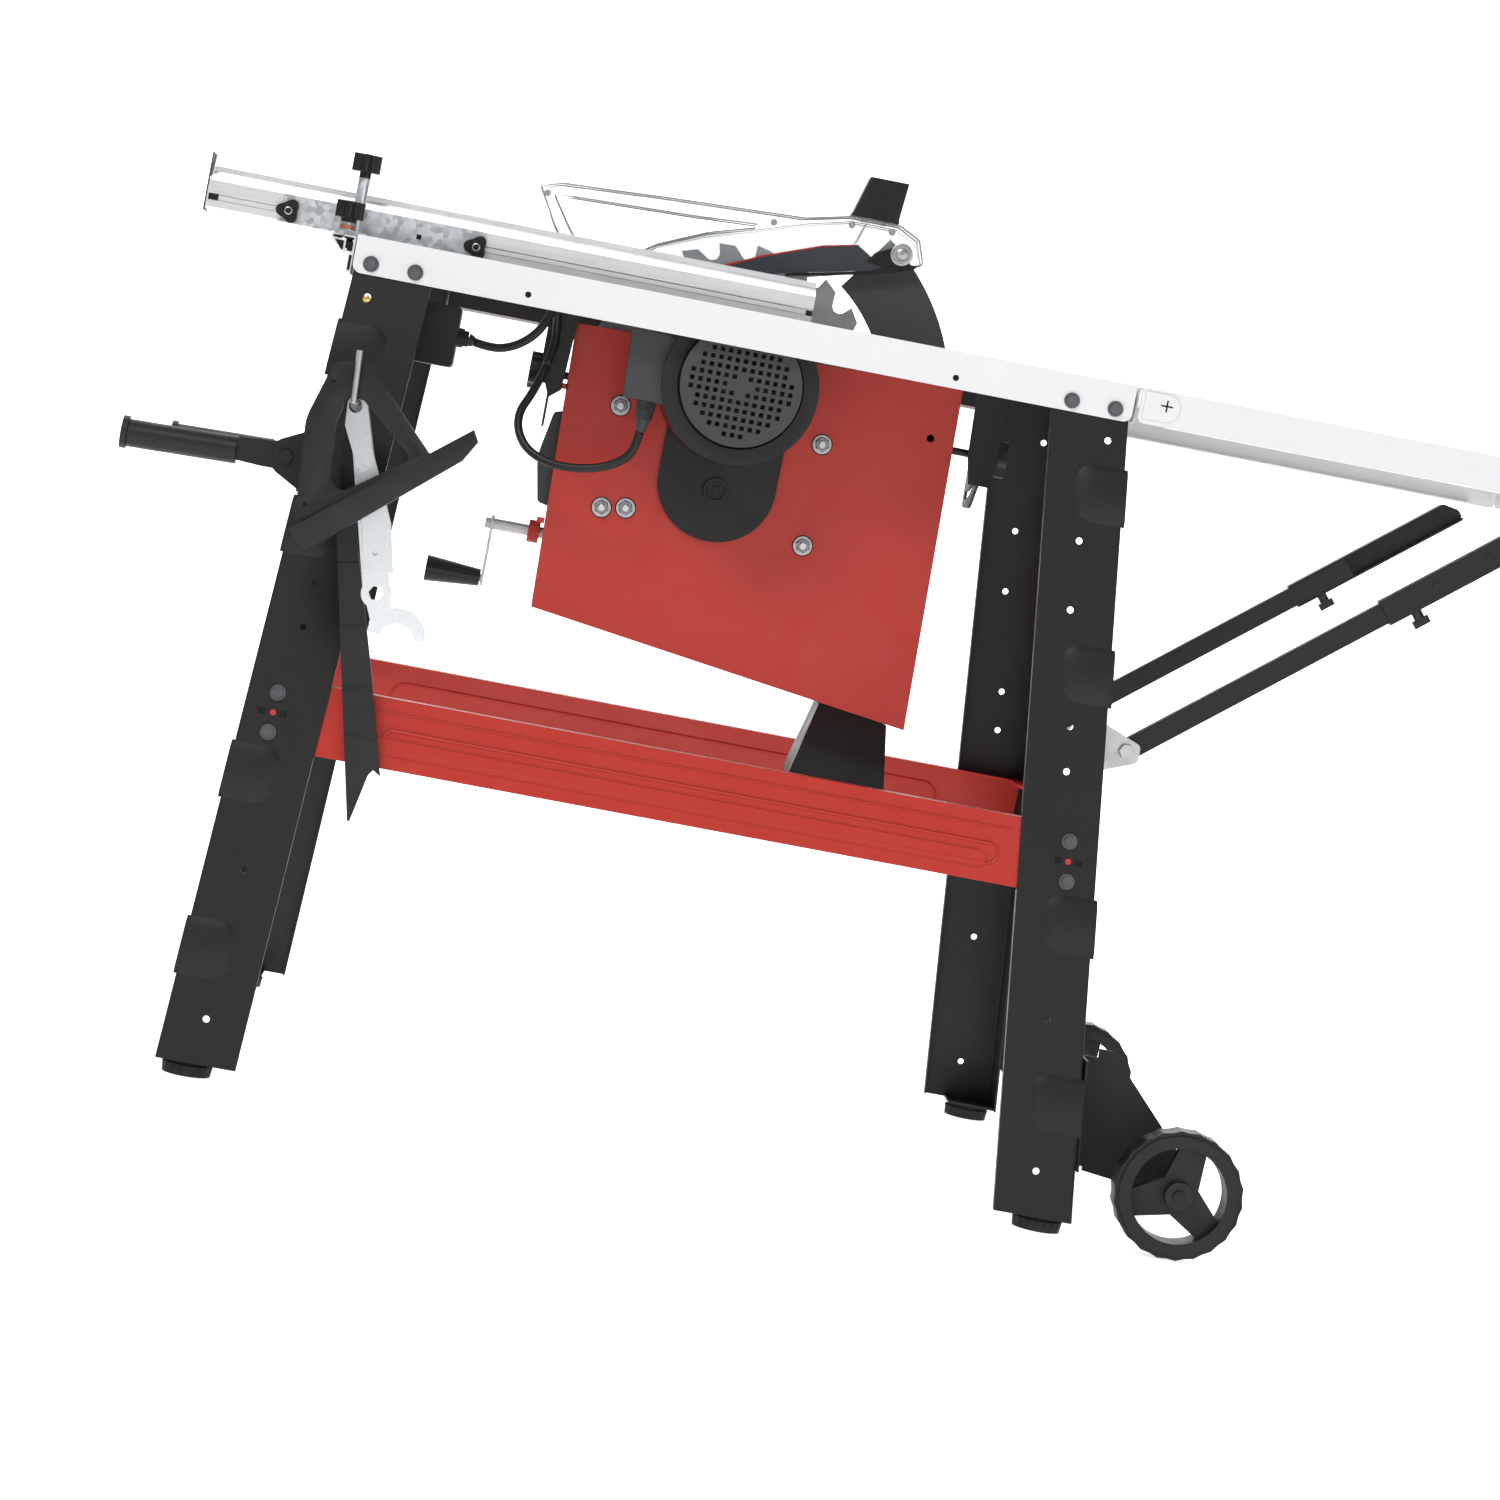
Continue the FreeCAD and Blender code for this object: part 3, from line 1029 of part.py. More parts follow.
def post_knob():
    knob = lobed((-8, -197, z(66)), (0, 0, 1), 16, 4, 6, 18)
    collar = rod((-8, -197, z(60.1)), (-8, -197, z(66)), 6)
    pin = rod((-8, -197, z(44)), (-8, -197, z(66)), 3.0)
    return join([knob, collar, pin])


# ---- loose tools on the hook -----------------------------------------------------------
def push_block():
    """Push handle: broad curved grip and a brace on a ribbed base board, hung by its loop."""
    y0, y1 = BLOCK_Y
    grip = [(8, -130, 12), (36, -126, 10), (49, -136, 8), (116, -204), (24, -286), (-3, -290, 6), (-10, -190, 50)]
    body = slab_xz(grip, y0, y1)
    hole = [(25, PEG[1] + PEG_R + 0.2, 4), (42, PEG[1] + PEG_R + 0.2, 5), (98, -210, 5), (36, -255, 8), (24, -244, 6),
            (19, -190, 20)]
    body = body.cut(slab_xz(hole, y0 - 5, y1 + 5))
    base = [(152, -171), (158, -182), (146, -203), (12, -318), (-7, -299)]
    board = slab_xz(base, y0 - 8, y1 + 20)
    pockets = []
    for i in range(6):
        share = (i + 0.5) / 6
        x, dz = 151 - 143 * share, -192 - 122 * share
        for y in (y0 - 6, y0 + 10, y0 + 26):
            pockets.append(rod((x + 2, y + 6, z(dz - 4)), (x - 10, y + 6, z(dz + 8)), 6.0))
    board = board.cut(Part.makeCompound(pockets))
    body = join([body, board])
    for x, dz in ((10, -150), (4, -272), (112, -208)):
        body = body.cut(rod((x, y0 - 1, z(dz)), (x, y0 + 3, z(dz)), 2.0))
    return body


HANG_HOLE_R = 6.6
HANG_DZ = PEG[1] + PEG_R - HANG_HOLE_R + 0.1


def hang_hole(y0, y1):
    return rod((PEG[0], y0 - 1, z(HANG_DZ)), (PEG[0], y1 + 1, z(HANG_DZ)), HANG_HOLE_R)


def push_stick():
    """Flat moulded stick with cross ribs, a notched end and a hanging hole."""
    y0, y1 = TOOL_Y + 10.5, TOOL_Y + 15.5
    outline = [(22, -158, 9), (45, -158, 9), (55, -289), (95, -422), (123, -525), (115, -520), (111, -526),
               (100, -580, 1.5), (79, -486), (37, -297)]
    body = slab_xz(outline, y0, y1)
    ribs = []
    for x0, dz0, x1, dz1 in ((43, -324, 64, -320), (57, -386, 81, -380), (71, -446, 98, -440), (81, -488, 112, -490)):
        ribs.append(slab_xz([(x0, dz0), (x1, dz1), (x1, dz1 - 2), (x0, dz0 - 2)], y0 - 1, y0))
    return join([body] + ribs).cut(hang_hole(y0, y1))


def spanners():
    """Two flat spanners: a stamped one in front, a hook spanner behind it."""
    y0 = TOOL_Y + 3.4
    y1 = y0 + 2.6
    front_plate = slab_xz([(24, -160, 8), (43, -160, 8), (56, -206), (88, -276), (99, -324), (70, -333), (62, -290),
                           (40, -218), (26, -190)], y0, y1)
    front_plate = front_plate.cut(hang_hole(y0, y1))
    front_plate = front_plate.cut(rod((78, y0 - 1, z(-308)), (78, y1 + 1, z(-308)), 2.2))
    y0, y1 = y1 + 0.4, y1 + 3.0
    shank = slab_xz([(24, -160, 8), (43, -160, 8), (99, -340), (105, -372), (86, -376), (72, -344)], y0, y1)
    boss = rod((86, y0, z(-347)), (86, y1, z(-347)), 15)
    jaw = rod((113, y0, z(-386)), (113, y1, z(-386)), 29)
    jaw = join([shank, boss, jaw]).cut(rod((114, y0 - 1, z(-391)), (114, y1 + 1, z(-391)), 18))
    jaw = jaw.cut(box(60, 170, y0 - 1, y1 + 1, z(-430), z(-386)))
    jaw = jaw.cut(hexagon((86, y0 - 1, z(-347)), (0, 1, 0), 13, 5))
    jaw = jaw.cut(hang_hole(y0, y1))
    return group([front_plate, jaw])


# ---- assemble --------------------------------------------------------------------------
add("table_top", table_top())
add("table_insert", table_insert())
add("front_guide_rail", front_guide_rail())
for front, end_name in ((True, "front"), (False, "rear")):
    for side, side_name in ((-1, "right"), (1, "left")):
        add(side_name + "_" + end_name + "_leg", leg(front, side))
add("rubber_feet", feet())
add("side_rails", group([side_rail(-1), side_rail(1)]))
add("cross_rails", group([cross_rail(True), cross_rail(False)]))
add("frame_bolts", frame_bolts())
add("tilt_brackets", tilt_brackets())
add("switch_box", switch_box())
add("start_button", push_button(-67, 6))
add("stop_button", push_button(-95, 8))
add("wheel_carrier", group(wheel_brackets() + [wheel_axle()]))
add("right_wheel", wheel(-1))
add("left_wheel", wheel(1))
add("handle_brackets", handle_brackets())
add("right_handle", transport_handle(-1))
add("left_handle", transport_handle(1))
add("tool_hook", tool_hook())
add("extension_table", extension_table())
add("strut_tubes", strut_tubes())
add("extension_fittings", group(table_hinges() + strut_pivots()))
add("strut_channels", strut_channels())
add("wing_screws", wing_screws())
add("saw_housing", saw_housing())
add("housing_cover", housing_cover())
add("guide_columns", guide_columns())
add("dust_chute", dust_chute())
add("crank_cover", crank_cover())
add("front_lock_knob", star_knob(213.5, -1))
add("rear_lock_knob", star_knob(679.0, 1))
add("lead_screw", lead_screw())
add("height_crank", height_crank())
add("crank_grip", crank_grip())
add("motor_housing", motor_housing())
add("fan_cover", fan_cover())
add("stator", stator())
add("rotor_and_fan", group([motor_shaft(), cooling_fan()]))
add("terminal_box", terminal_box())
add("slot_cover", slot_cover())
add("motor_carriage", motor_carriage())
add("saw_blade", saw_blade())
add("riving_knife", riving_knife())
add("guard_bolt", guard_bolt())
add("blade_guard", blade_guard())
add("dust_adapter", dust_adapter())
add("fence_bracket", fence_bracket())
add("rip_fence", rip_fence())
add("front_fence_nut", fence_nut(-78))
add("rear_fence_nut", fence_nut(116))
add("clamp_knob", clamp_knob())
add("post_knob", post_knob())
add("push_block", push_block())
add("push_stick", push_stick())
add("spanners", spanners())
add("switch_cable", tube(SWITCH_CABLE, CABLE_R, "switch_cable"))
add("motor_cable", tube(MOTOR_CABLE, CABLE_R, "motor_cable"))

low = V(1e9, 1e9, 1e9)
high = V(-1e9, -1e9, -1e9)
for name, shape in NODES.items():
    shape.translate(V(-ORIGIN_X, 0, 0))
    shape.exportStep("parts/" + name + ".step")
    bounds = shape.BoundBox
    low = V(min(low.x, bounds.XMin), min(low.y, bounds.YMin), min(low.z, bounds.ZMin))
    high = V(max(high.x, bounds.XMax), max(high.y, bounds.YMax), max(high.z, bounds.ZMax))
    if not shape.isValid() or shape.Volume <= 0:
        print("CHECK", name, shape.isValid(), shape.Volume)
print("nodes", len(NODES), "low", low, "high", high)
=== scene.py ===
"""Looks of the table saw: materials, softened sheet-metal pieces, cables and small fittings.

Everything is in metres in the row frame. Places are worked out from the CAD nodes' boxes, or given
as (x, y, dz): x from the table's front edge, y from its centre line, dz from the table top, in mm.
"""
import bmesh
import bpy
import json
import math
from mathutils import Matrix, Vector

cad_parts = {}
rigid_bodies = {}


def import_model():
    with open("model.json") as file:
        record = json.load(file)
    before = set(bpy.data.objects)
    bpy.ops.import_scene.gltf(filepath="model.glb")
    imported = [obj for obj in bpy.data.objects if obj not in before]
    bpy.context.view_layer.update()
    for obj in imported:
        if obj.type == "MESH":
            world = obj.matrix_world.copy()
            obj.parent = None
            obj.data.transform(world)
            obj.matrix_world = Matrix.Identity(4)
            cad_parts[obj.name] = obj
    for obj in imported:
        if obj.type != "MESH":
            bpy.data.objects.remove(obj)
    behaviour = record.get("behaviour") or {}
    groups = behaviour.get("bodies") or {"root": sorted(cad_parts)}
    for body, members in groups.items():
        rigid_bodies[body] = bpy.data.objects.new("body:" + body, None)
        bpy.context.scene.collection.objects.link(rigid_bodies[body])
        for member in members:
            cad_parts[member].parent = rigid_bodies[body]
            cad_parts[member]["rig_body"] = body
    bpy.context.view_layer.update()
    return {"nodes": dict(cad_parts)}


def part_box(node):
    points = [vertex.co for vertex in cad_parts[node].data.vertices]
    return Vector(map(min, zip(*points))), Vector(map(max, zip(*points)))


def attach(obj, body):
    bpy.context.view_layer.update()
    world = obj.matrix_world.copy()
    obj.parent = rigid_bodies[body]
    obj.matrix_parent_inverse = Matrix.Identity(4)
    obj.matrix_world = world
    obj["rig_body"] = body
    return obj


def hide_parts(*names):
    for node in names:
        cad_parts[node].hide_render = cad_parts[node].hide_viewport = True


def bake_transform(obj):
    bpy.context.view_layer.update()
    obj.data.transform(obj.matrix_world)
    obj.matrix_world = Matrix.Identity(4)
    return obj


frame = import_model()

NODES = frame["nodes"]
TABLE_LOW, TABLE_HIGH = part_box("table_top")
TABLE_FRONT = TABLE_LOW.x
TABLE_Z = TABLE_HIGH.z
MM = 0.001


def at(x, y, dz):
    """Row-frame point from table coordinates in mm."""
    return Vector((TABLE_FRONT + x * MM, y * MM, TABLE_Z + dz * MM))


def add_object(name, data):
    """New object in the scene around a mesh, curve, light or camera."""
    made = bpy.data.objects.new(name, data)
    bpy.context.scene.collection.objects.link(made)
    return made


def mesh_from(build, name):
    """Mesh made from a bmesh, which is freed."""
    mesh = bpy.data.meshes.new(name)
    build.to_mesh(mesh)
    build.free()
    return mesh


def shade_smooth(mesh, sharp_degrees=None):
    """Smooth shading, kept sharp where faces meet at more than an angle."""
    for polygon in mesh.polygons:
        polygon.use_smooth = True
    if sharp_degrees is not None:
        mesh.set_sharp_from_angle(angle=math.radians(sharp_degrees))


def bridge(build, low, high):
    """Band of faces between two rings with the same count of points."""
    for k in range(len(low)):
        n = (k + 1) % len(low)
        build.faces.new((low[k], low[n], high[n], high[k]))


def cap_ends(build, rings):
    """Faces that close the first and the last ring of a run."""
    build.faces.new(list(reversed(rings[0])))
    build.faces.new(rings[-1])


def round_ring(build, centre, side, up, radius, sides):
    """Ring of points round a centre, in the plane of two unit vectors."""
    ring = []
    for k in range(sides):
        angle = 2 * math.pi * k / sides
        ring.append(build.verts.new(centre + (side * math.cos(angle) + up * math.sin(angle)) * radius))
    return ring


# ---- camera, light and floor -----------------------------------------------------------
CAMERA_PLACE = (229.95, -4494.6, -185.9)
CAMERA_TURN = (0.060, -0.059, 0.190)
CAMERA_LENS = 100.24
CAMERA_SENSOR = 36


def camera():
    """Long lens from the operator's right, a little under the table top, rolled as the saw is tipped."""
    yaw, pitch, roll = CAMERA_TURN
    ahead = Vector((math.sin(yaw) * math.cos(pitch), math.cos(yaw) * math.cos(pitch), math.sin(pitch)))
    level_right = Vector((math.cos(yaw), -math.sin(yaw), 0))
    level_up = level_right.cross(ahead)
    right = level_right * math.cos(roll) + level_up * math.sin(roll)
    up = level_up * math.cos(roll) - level_right * math.sin(roll)
    data = bpy.data.cameras.new("camera")
    data.sensor_width = CAMERA_SENSOR
    data.lens = CAMERA_LENS
    cam = add_object("camera", data)
    turn = Matrix((right, up, -ahead)).transposed()
    cam.matrix_world = Matrix.Translation(at(*CAMERA_PLACE)) @ turn.to_4x4()
    data.clip_end = 60
    bpy.context.scene.camera = cam


def area_light(name, place, target, size, power):
    """White rectangular light aimed at a target, with its size in metres and power in watts."""
    data = bpy.data.lights.new(name, "AREA")
    data.shape = "RECTANGLE"
    data.size, data.size_y = size
    data.energy = power
    light = add_object(name, data)
    light.location = place
    light.rotation_euler = (Vector(target) - Vector(place)).to_track_quat("-Z", "Y").to_euler()


def studio():
    """White sweep behind the saw, with large soft lights in front of it."""
    world = bpy.data.worlds.new("studio")
    world.use_nodes = True
    background = world.node_tree.nodes["Background"]
    background.inputs["Color"].default_value = (1.0, 1.0, 1.0, 1)
    background.inputs["Strength"].default_value = 0.30
    bpy.context.scene.world = world
    bpy.context.scene.view_settings.view_transform = "Standard"
    half, front, back, bend, top = 9.0, -9.0, 5.0, 1.5, 9.0
    steps = 12
    profile = [(front, 0.0), (back - bend, 0.0)]
    for i in range(1, steps):
        angle = math.pi / 2 * i / steps
        profile.append((back - bend + bend * math.sin(angle), bend - bend * math.cos(angle)))
    profile += [(back, bend), (back, top)]
    build = bmesh.new()
    rows = [[build.verts.new((x, y, z)) for x in (-half, half)] for y, z in profile]
    for low, high in zip(rows, rows[1:]):
        build.faces.new((low[0], low[1], high[1], high[0]))
    mesh = mesh_from(build, "backdrop")
    shade_smooth(mesh)
    backdrop = add_object("backdrop", mesh)
    paper = bpy.data.materials.new("backdrop_paper")
    paper.use_nodes = True
    shader = paper.node_tree.nodes["Principled BSDF"]
    shader.inputs["Base Color"].default_value = (0.93, 0.93, 0.93, 1)
    shader.inputs["Roughness"].default_value = 0.9
    shader.inputs["Emission Color"].default_value = (1, 1, 1, 1)
    shader.inputs["Emission Strength"].default_value = 0.74
    mesh.materials.append(paper)
    area_light("key", (-1.8, -3.2, 3.6), (0, 0, 0.6), (1.6, 1.1), 92)
    area_light("fill", (2.6, -3.8, 1.4), (0.1, 0, 0.5), (2.2, 1.6), 22)
    area_light("low_front", (0.2, -3.6, 0.25), (0.0, 0, 0.5), (2.6, 0.6), 9)
    area_light("sweep", (0.0, 2.0, 4.5), (0, 4.6, 1.0), (5.0, 2.0), 160)


# ---- materials -------------------------------------------------------------------------
def material(name, colour, roughness, metallic=0.0, **sockets):
    """Principled material; dark colours get a weaker reflection, so that they stay dark."""
    made = bpy.data.materials.new(name)
    made.use_nodes = True
    shader = made.node_tree.nodes["Principled BSDF"]
    shader.inputs["Base Color"].default_value = (*colour, 1)
    shader.inputs["Specular IOR Level"].default_value = 0.5 if max(colour) > 0.1 else 0.3
    shader.inputs["Roughness"].default_value = roughness
    shader.inputs["Metallic"].default_value = metallic
    for socket, value in sockets.items():
        shader.inputs[socket.replace("_", " ")].default_value = value
    return made


def node(made, kind, links=(), **values):
    """Adds a node; values set its sockets or settings, links feed its sockets."""
    added = made.node_tree.nodes.new(kind)
    for key, value in values.items():
        if hasattr(added, key):
            setattr(added, key, value)
        else:
            added.inputs[key.replace("_", " ")].default_value = value
    for source, socket in links:
        made.node_tree.links.new(source, added.inputs[socket])
    return added


def shader_of(made):
    return made.node_tree.nodes["Principled BSDF"]


def place_of(made, stretch=(1, 1, 1)):
    """Object coordinates in metres, stretched along an axis for grain."""
    coordinates = node(made, "ShaderNodeTexCoord")
    mapping = node(made, "ShaderNodeMapping", [(coordinates.outputs["Object"], "Vector")])
    mapping.inputs["Scale"].default_value = stretch
    return mapping.outputs["Vector"]


def noise(made, scale, detail=3.0, rough=0.5, stretch=(1, 1, 1)):
    return node(made, "ShaderNodeTexNoise", [(place_of(made, stretch), "Vector")],
                Scale=scale, Detail=detail, Roughness=rough).outputs["Fac"]


def ramp(made, source, stops):
    """Colour ramp; stops are (position, grey or colour)."""
    added = node(made, "ShaderNodeValToRGB", [(source, "Fac")])
    elements = added.color_ramp.elements
    while len(elements) < len(stops):
        elements.new(0.5)
    for element, (position, value) in zip(elements, stops):
        element.position = position
        colour = (value, value, value) if isinstance(value, (int, float)) else value
        element.color = (*colour, 1)
    return added.outputs["Color"]


EDGE_ROUND = 0.0007


def bump(made, height, strength, distance=0.001):
    """Height bumps over edges that are shaded as slightly rounded."""
    rounded = node(made, "ShaderNodeBevel", Radius=EDGE_ROUND).outputs["Normal"]
    links = [(height, "Height"), (rounded, "Normal")]
    added = node(made, "ShaderNodeBump", links, Strength=strength, Distance=distance)
    feed(made, added.outputs["Normal"], "Normal")


def feed(made, source, socket):
    """Links a source to a socket of the material's shader."""
    made.node_tree.links.new(source, shader_of(made).inputs[socket])


def mix_colour(made, factor, first, second):
    """Mix of two colours; each is a socket or a plain colour."""
    added = node(made, "ShaderNodeMix", data_type="RGBA")
    for index, value in ((6, first), (7, second)):
        if isinstance(value, tuple):
            added.inputs[index].default_value = (*value, 1)
        else:
            made.node_tree.links.new(value, added.inputs[index])
    if isinstance(factor, float):
        added.inputs[0].default_value = factor
    else:
        made.node_tree.links.new(factor, added.inputs[0])
    return added.outputs[2]


def powder_coat(name, colour, grain_scale=900, grain=0.35, roughness=(0.44, 0.52)):
    """Textured powder coat: fine orange-peel bumps and an uneven sheen."""
    made = material(name, colour, 0.5)
    darker = tuple(c * 0.90 for c in colour)
    feed(made, mix_colour(made, noise(made, 7, 3), darker, colour), "Base Color")
    feed(made, ramp(made, noise(made, 14, 3), [(0.3, roughness[0]), (0.7, roughness[1])]), "Roughness")
    bump(made, noise(made, grain_scale, 2, 0.6), grain, 0.0004)
    return made


def sheet_paint(name, colour, shade=0.94, roughness=(0.30, 0.42), grain=0.05):
    """Smooth painted sheet: faint waviness and handling marks."""
    made = material(name, colour, 0.35)
    low = tuple(c * shade for c in colour)
    feed(made, mix_colour(made, noise(made, 3.5, 4), low, colour), "Base Color")
    feed(made, ramp(made, noise(made, 26, 5), [(0.3, roughness[0]), (0.7, roughness[1])]), "Roughness")
    bump(made, noise(made, 420, 2), grain, 0.0005)
    return made


def brushed(name, colour, roughness=(0.28, 0.42), stretch=(1, 1, 40), scale=60, grain=0.06):
    """Bare metal with fine parallel brushing."""
    made = material(name, colour, 0.32, 1.0)
    low = tuple(c * 0.86 for c in colour)
    lines = noise(made, scale, 4, 0.6, stretch)
    feed(made, mix_colour(made, lines, low, colour), "Base Color")
    feed(made, ramp(made, lines, [(0.3, roughness[0]), (0.7, roughness[1])]), "Roughness")
    bump(made, lines, grain, 0.0003)
    return made


def spangled(name, colour):
    """Hot-dip galvanised sheet: crystal patches of slightly different grey and gloss."""
    made = material(name, colour, 0.35, 0.9)
    cells = node(made, "ShaderNodeTexVoronoi", [(place_of(made), "Vector")], Scale=170.0).outputs["Color"]
    grey = node(made, "ShaderNodeRGBToBW", [(cells, "Color")]).outputs[0]
    feed(made, ramp(made, grey, [(0.2, tuple(c * 0.80 for c in colour)), (0.8, colour)]), "Base Color")
    feed(made, ramp(made, grey, [(0.2, 0.28), (0.8, 0.46)]), "Roughness")
    bump(made, noise(made, 300, 3), 0.08, 0.0003)
    return made


def plastic(name, colour, grain=0.12, roughness=(0.38, 0.55), scale=700):
    """Moulded plastic with a fine spark-eroded grain."""
    made = material(name, colour, 0.45)
    feed(made, mix_colour(made, noise(made, 12, 3), tuple(c * 0.85 for c in colour), colour), "Base Color")
    feed(made, ramp(made, noise(made, 30, 4), [(0.3, roughness[0]), (0.7, roughness[1])]), "Roughness")
    bump(made, noise(made, scale, 2), grain, 0.0003)
    return made


def clear_plastic(name):
    """Clear polycarbonate: mostly see-through, brighter where it turns away."""
    made = material(name, (0.50, 0.53, 0.55), 0.08, IOR=1.49)
    facing = node(made, "ShaderNodeLayerWeight", Blend=0.32).outputs["Facing"]
    cover = ramp(made, facing, [(0.0, 0.22), (0.55, 0.38), (1.0, 0.90)])
    feed(made, cover, "Alpha")
    bump(made, noise(made, 60, 2), 0.02, 0.0005)
    return made


MATERIALS = {
    "table": sheet_paint("table_coat", (0.70, 0.71, 0.72), grain=0.10, roughness=(0.34, 0.48)),
    "insert": sheet_paint("insert_coat", (0.55, 0.56, 0.57), grain=0.08),
    "aluminium": brushed("aluminium_extrusion", (0.86, 0.87, 0.88), (0.30, 0.42), (1, 60, 60), 40, 0.04),
    "fence": brushed("fence_extrusion", (0.90, 0.91, 0.92), (0.28, 0.40), (1, 60, 60), 30, 0.03),
    "black": powder_coat("black_powder_coat", (0.010, 0.0098, 0.010)),
    "red": sheet_paint("red_paint", (0.44, 0.016, 0.005), 0.88, (0.36, 0.50), 0.09),
    "zinc": brushed("zinc_plate", (0.46, 0.46, 0.47), (0.30, 0.48), (1, 1, 1), 90, 0.05),
    "dark_bolt": brushed("blackened_bolt", (0.14, 0.14, 0.15), (0.34, 0.5), (1, 1, 1), 90, 0.05),
    "brass": brushed("brass", (0.66, 0.48, 0.16), (0.25, 0.4), (1, 1, 1), 90, 0.04),
    "copper": brushed("copper_pad", (0.62, 0.22, 0.13), (0.35, 0.5), (1, 1, 1), 90, 0.04),
    "dull_nut": brushed("dull_nut", (0.24, 0.24, 0.25), (0.34, 0.5), (1, 1, 1), 90, 0.05),
    # Near-black painted shade: stands for the shaded inside of holes and slots, and for the shadow rings round the
    # panel nuts.
    "painted_shade": plastic("shadowed_opening", (0.006, 0.006, 0.006), 0.02, (0.8, 0.9)),
    "label": plastic("guard_panel", (0.045, 0.050, 0.060), 0.02, (0.25, 0.35)),
    "rim": plastic("guard_rim", (0.30, 0.32, 0.33), 0.02, (0.15, 0.25)),
    "galvanised": spangled("galvanised_sheet", (0.66, 0.69, 0.71)),
    "steel": brushed("turned_steel", (0.55, 0.56, 0.57), (0.22, 0.38), (60, 1, 1), 40, 0.04),
    "blade": brushed("blade_steel", (0.38, 0.38, 0.385), (0.30, 0.46), (1, 1, 1), 120, 0.05),
    "knife": sheet_paint("knife_coat", (0.050, 0.052, 0.055), 0.9, (0.40, 0.55), 0.08),
    "plastic": plastic("black_plastic", (0.011, 0.011, 0.012)),
    "gloss": plastic("knob_plastic", (0.012, 0.012, 0.013), 0.05, (0.25, 0.38)),
    "grey": plastic("dark_grey_plastic", (0.045, 0.047, 0.050)),
    "motor": powder_coat("motor_paint", (0.011, 0.011, 0.012), 600, 0.2, (0.38, 0.52)),
    "clear": clear_plastic("clear_polycarbonate"),
    "rubber": plastic("foot_rubber", (0.014, 0.014, 0.014), 0.2, (0.6, 0.8), 400),
    "cable": plastic("cable_sheath", (0.012, 0.012, 0.012), 0.06, (0.35, 0.5), 300),
    "green": plastic("green_button", (0.02, 0.28, 0.06), 0.03, (0.2, 0.3)),
    "red_plastic": plastic("red_button", (0.50, 0.02, 0.012), 0.03, (0.2, 0.3)),
    "iron": brushed("stacked_sheets", (0.07, 0.07, 0.075), (0.4, 0.6), (1, 200, 1), 60, 0.3),
}

LOOK = {
    "table_top": "table", "table_insert": "insert", "extension_table": "table", "front_guide_rail": "aluminium",
    "right_front_leg": "black", "left_front_leg": "black", "right_rear_leg": "black", "left_rear_leg": "black",
    "rubber_feet": "rubber", "side_rails": "red", "cross_rails": "red", "frame_bolts": "dark_bolt",
    "tilt_brackets": "black", "switch_box": "plastic", "start_button": "green", "stop_button": "red_plastic",
    "wheel_carrier": "black", "right_wheel": "plastic", "left_wheel": "plastic", "handle_brackets": "black",
    "right_handle": "plastic", "left_handle": "plastic", "tool_hook": "zinc", "strut_tubes": "black",
    "extension_fittings": "zinc", "strut_channels": "black", "wing_screws": "gloss", "saw_housing": "red",
    "housing_cover": "red", "guide_columns": "zinc", "dust_chute": "plastic", "crank_cover": "grey",
    "front_lock_knob": "gloss", "rear_lock_knob": "gloss", "lead_screw": "steel", "height_crank": "zinc",
    "crank_grip": "gloss", "motor_housing": "motor", "fan_cover": "grey", "stator": "iron",
    "rotor_and_fan": "iron", "terminal_box": "grey", "slot_cover": "plastic", "motor_carriage": "motor",
    "saw_blade": "blade", "riving_knife": "knife", "guard_bolt": "zinc", "blade_guard": "clear",
    "dust_adapter": "plastic", "fence_bracket": "galvanised", "rip_fence": "fence", "front_fence_nut": "gloss",
    "rear_fence_nut": "gloss", "clamp_knob": "gloss", "post_knob": "gloss", "push_block": "plastic",
    "push_stick": "plastic", "spanners": "galvanised", "switch_cable": "cable", "motor_cable": "cable",
}


def paint(piece, look):
    """Gives a new piece one material."""
    piece.data.materials.clear()
    piece.data.materials.append(MATERIALS[look])


def paint_frame():
    """Gives every CAD node its look."""
    for name, look in LOOK.items():
        piece = NODES[name]
        for slot in piece.material_slots:
            slot.material = MATERIALS[look]
        if not piece.material_slots:
            piece.data.materials.append(MATERIALS[look])


# ---- softened copies of CAD nodes ------------------------------------------------------
SHARP_ANGLE = 35
BEVEL_ANGLE = 28
FLAT_ANGLE = 0.6
BEVEL_SEGMENTS = 2


def softened(name, radius_mm):
    """Copy of a CAD node with its sharp edges rounded, which stands for it."""
    source = NODES[name]
    mesh = source.data.copy()
    mesh.name = name + "_looks"
    build = bmesh.new()
    build.from_mesh(mesh)
    bmesh.ops.remove_doubles(build, verts=build.verts, dist=1e-6)
    bmesh.ops.dissolve_limit(build, angle_limit=math.radians(FLAT_ANGLE), verts=build.verts, edges=build.edges)
    build.to_mesh(mesh)
    build.free()
    piece = add_object(name + "_looks", mesh)
    bevel = piece.modifiers.new("bevel", "BEVEL")
    bevel.width = radius_mm * MM
    bevel.segments = BEVEL_SEGMENTS
    bevel.limit_method = "ANGLE"
    bevel.angle_limit = math.radians(BEVEL_ANGLE)
    depsgraph = bpy.context.evaluated_depsgraph_get()
    final = bpy.data.meshes.new_from_object(piece.evaluated_get(depsgraph))
    piece.modifiers.clear()
    piece.data = final
    shade_smooth(final, SHARP_ANGLE)
    paint(piece, LOOK[name])
    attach(piece, source["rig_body"])
    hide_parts(name)


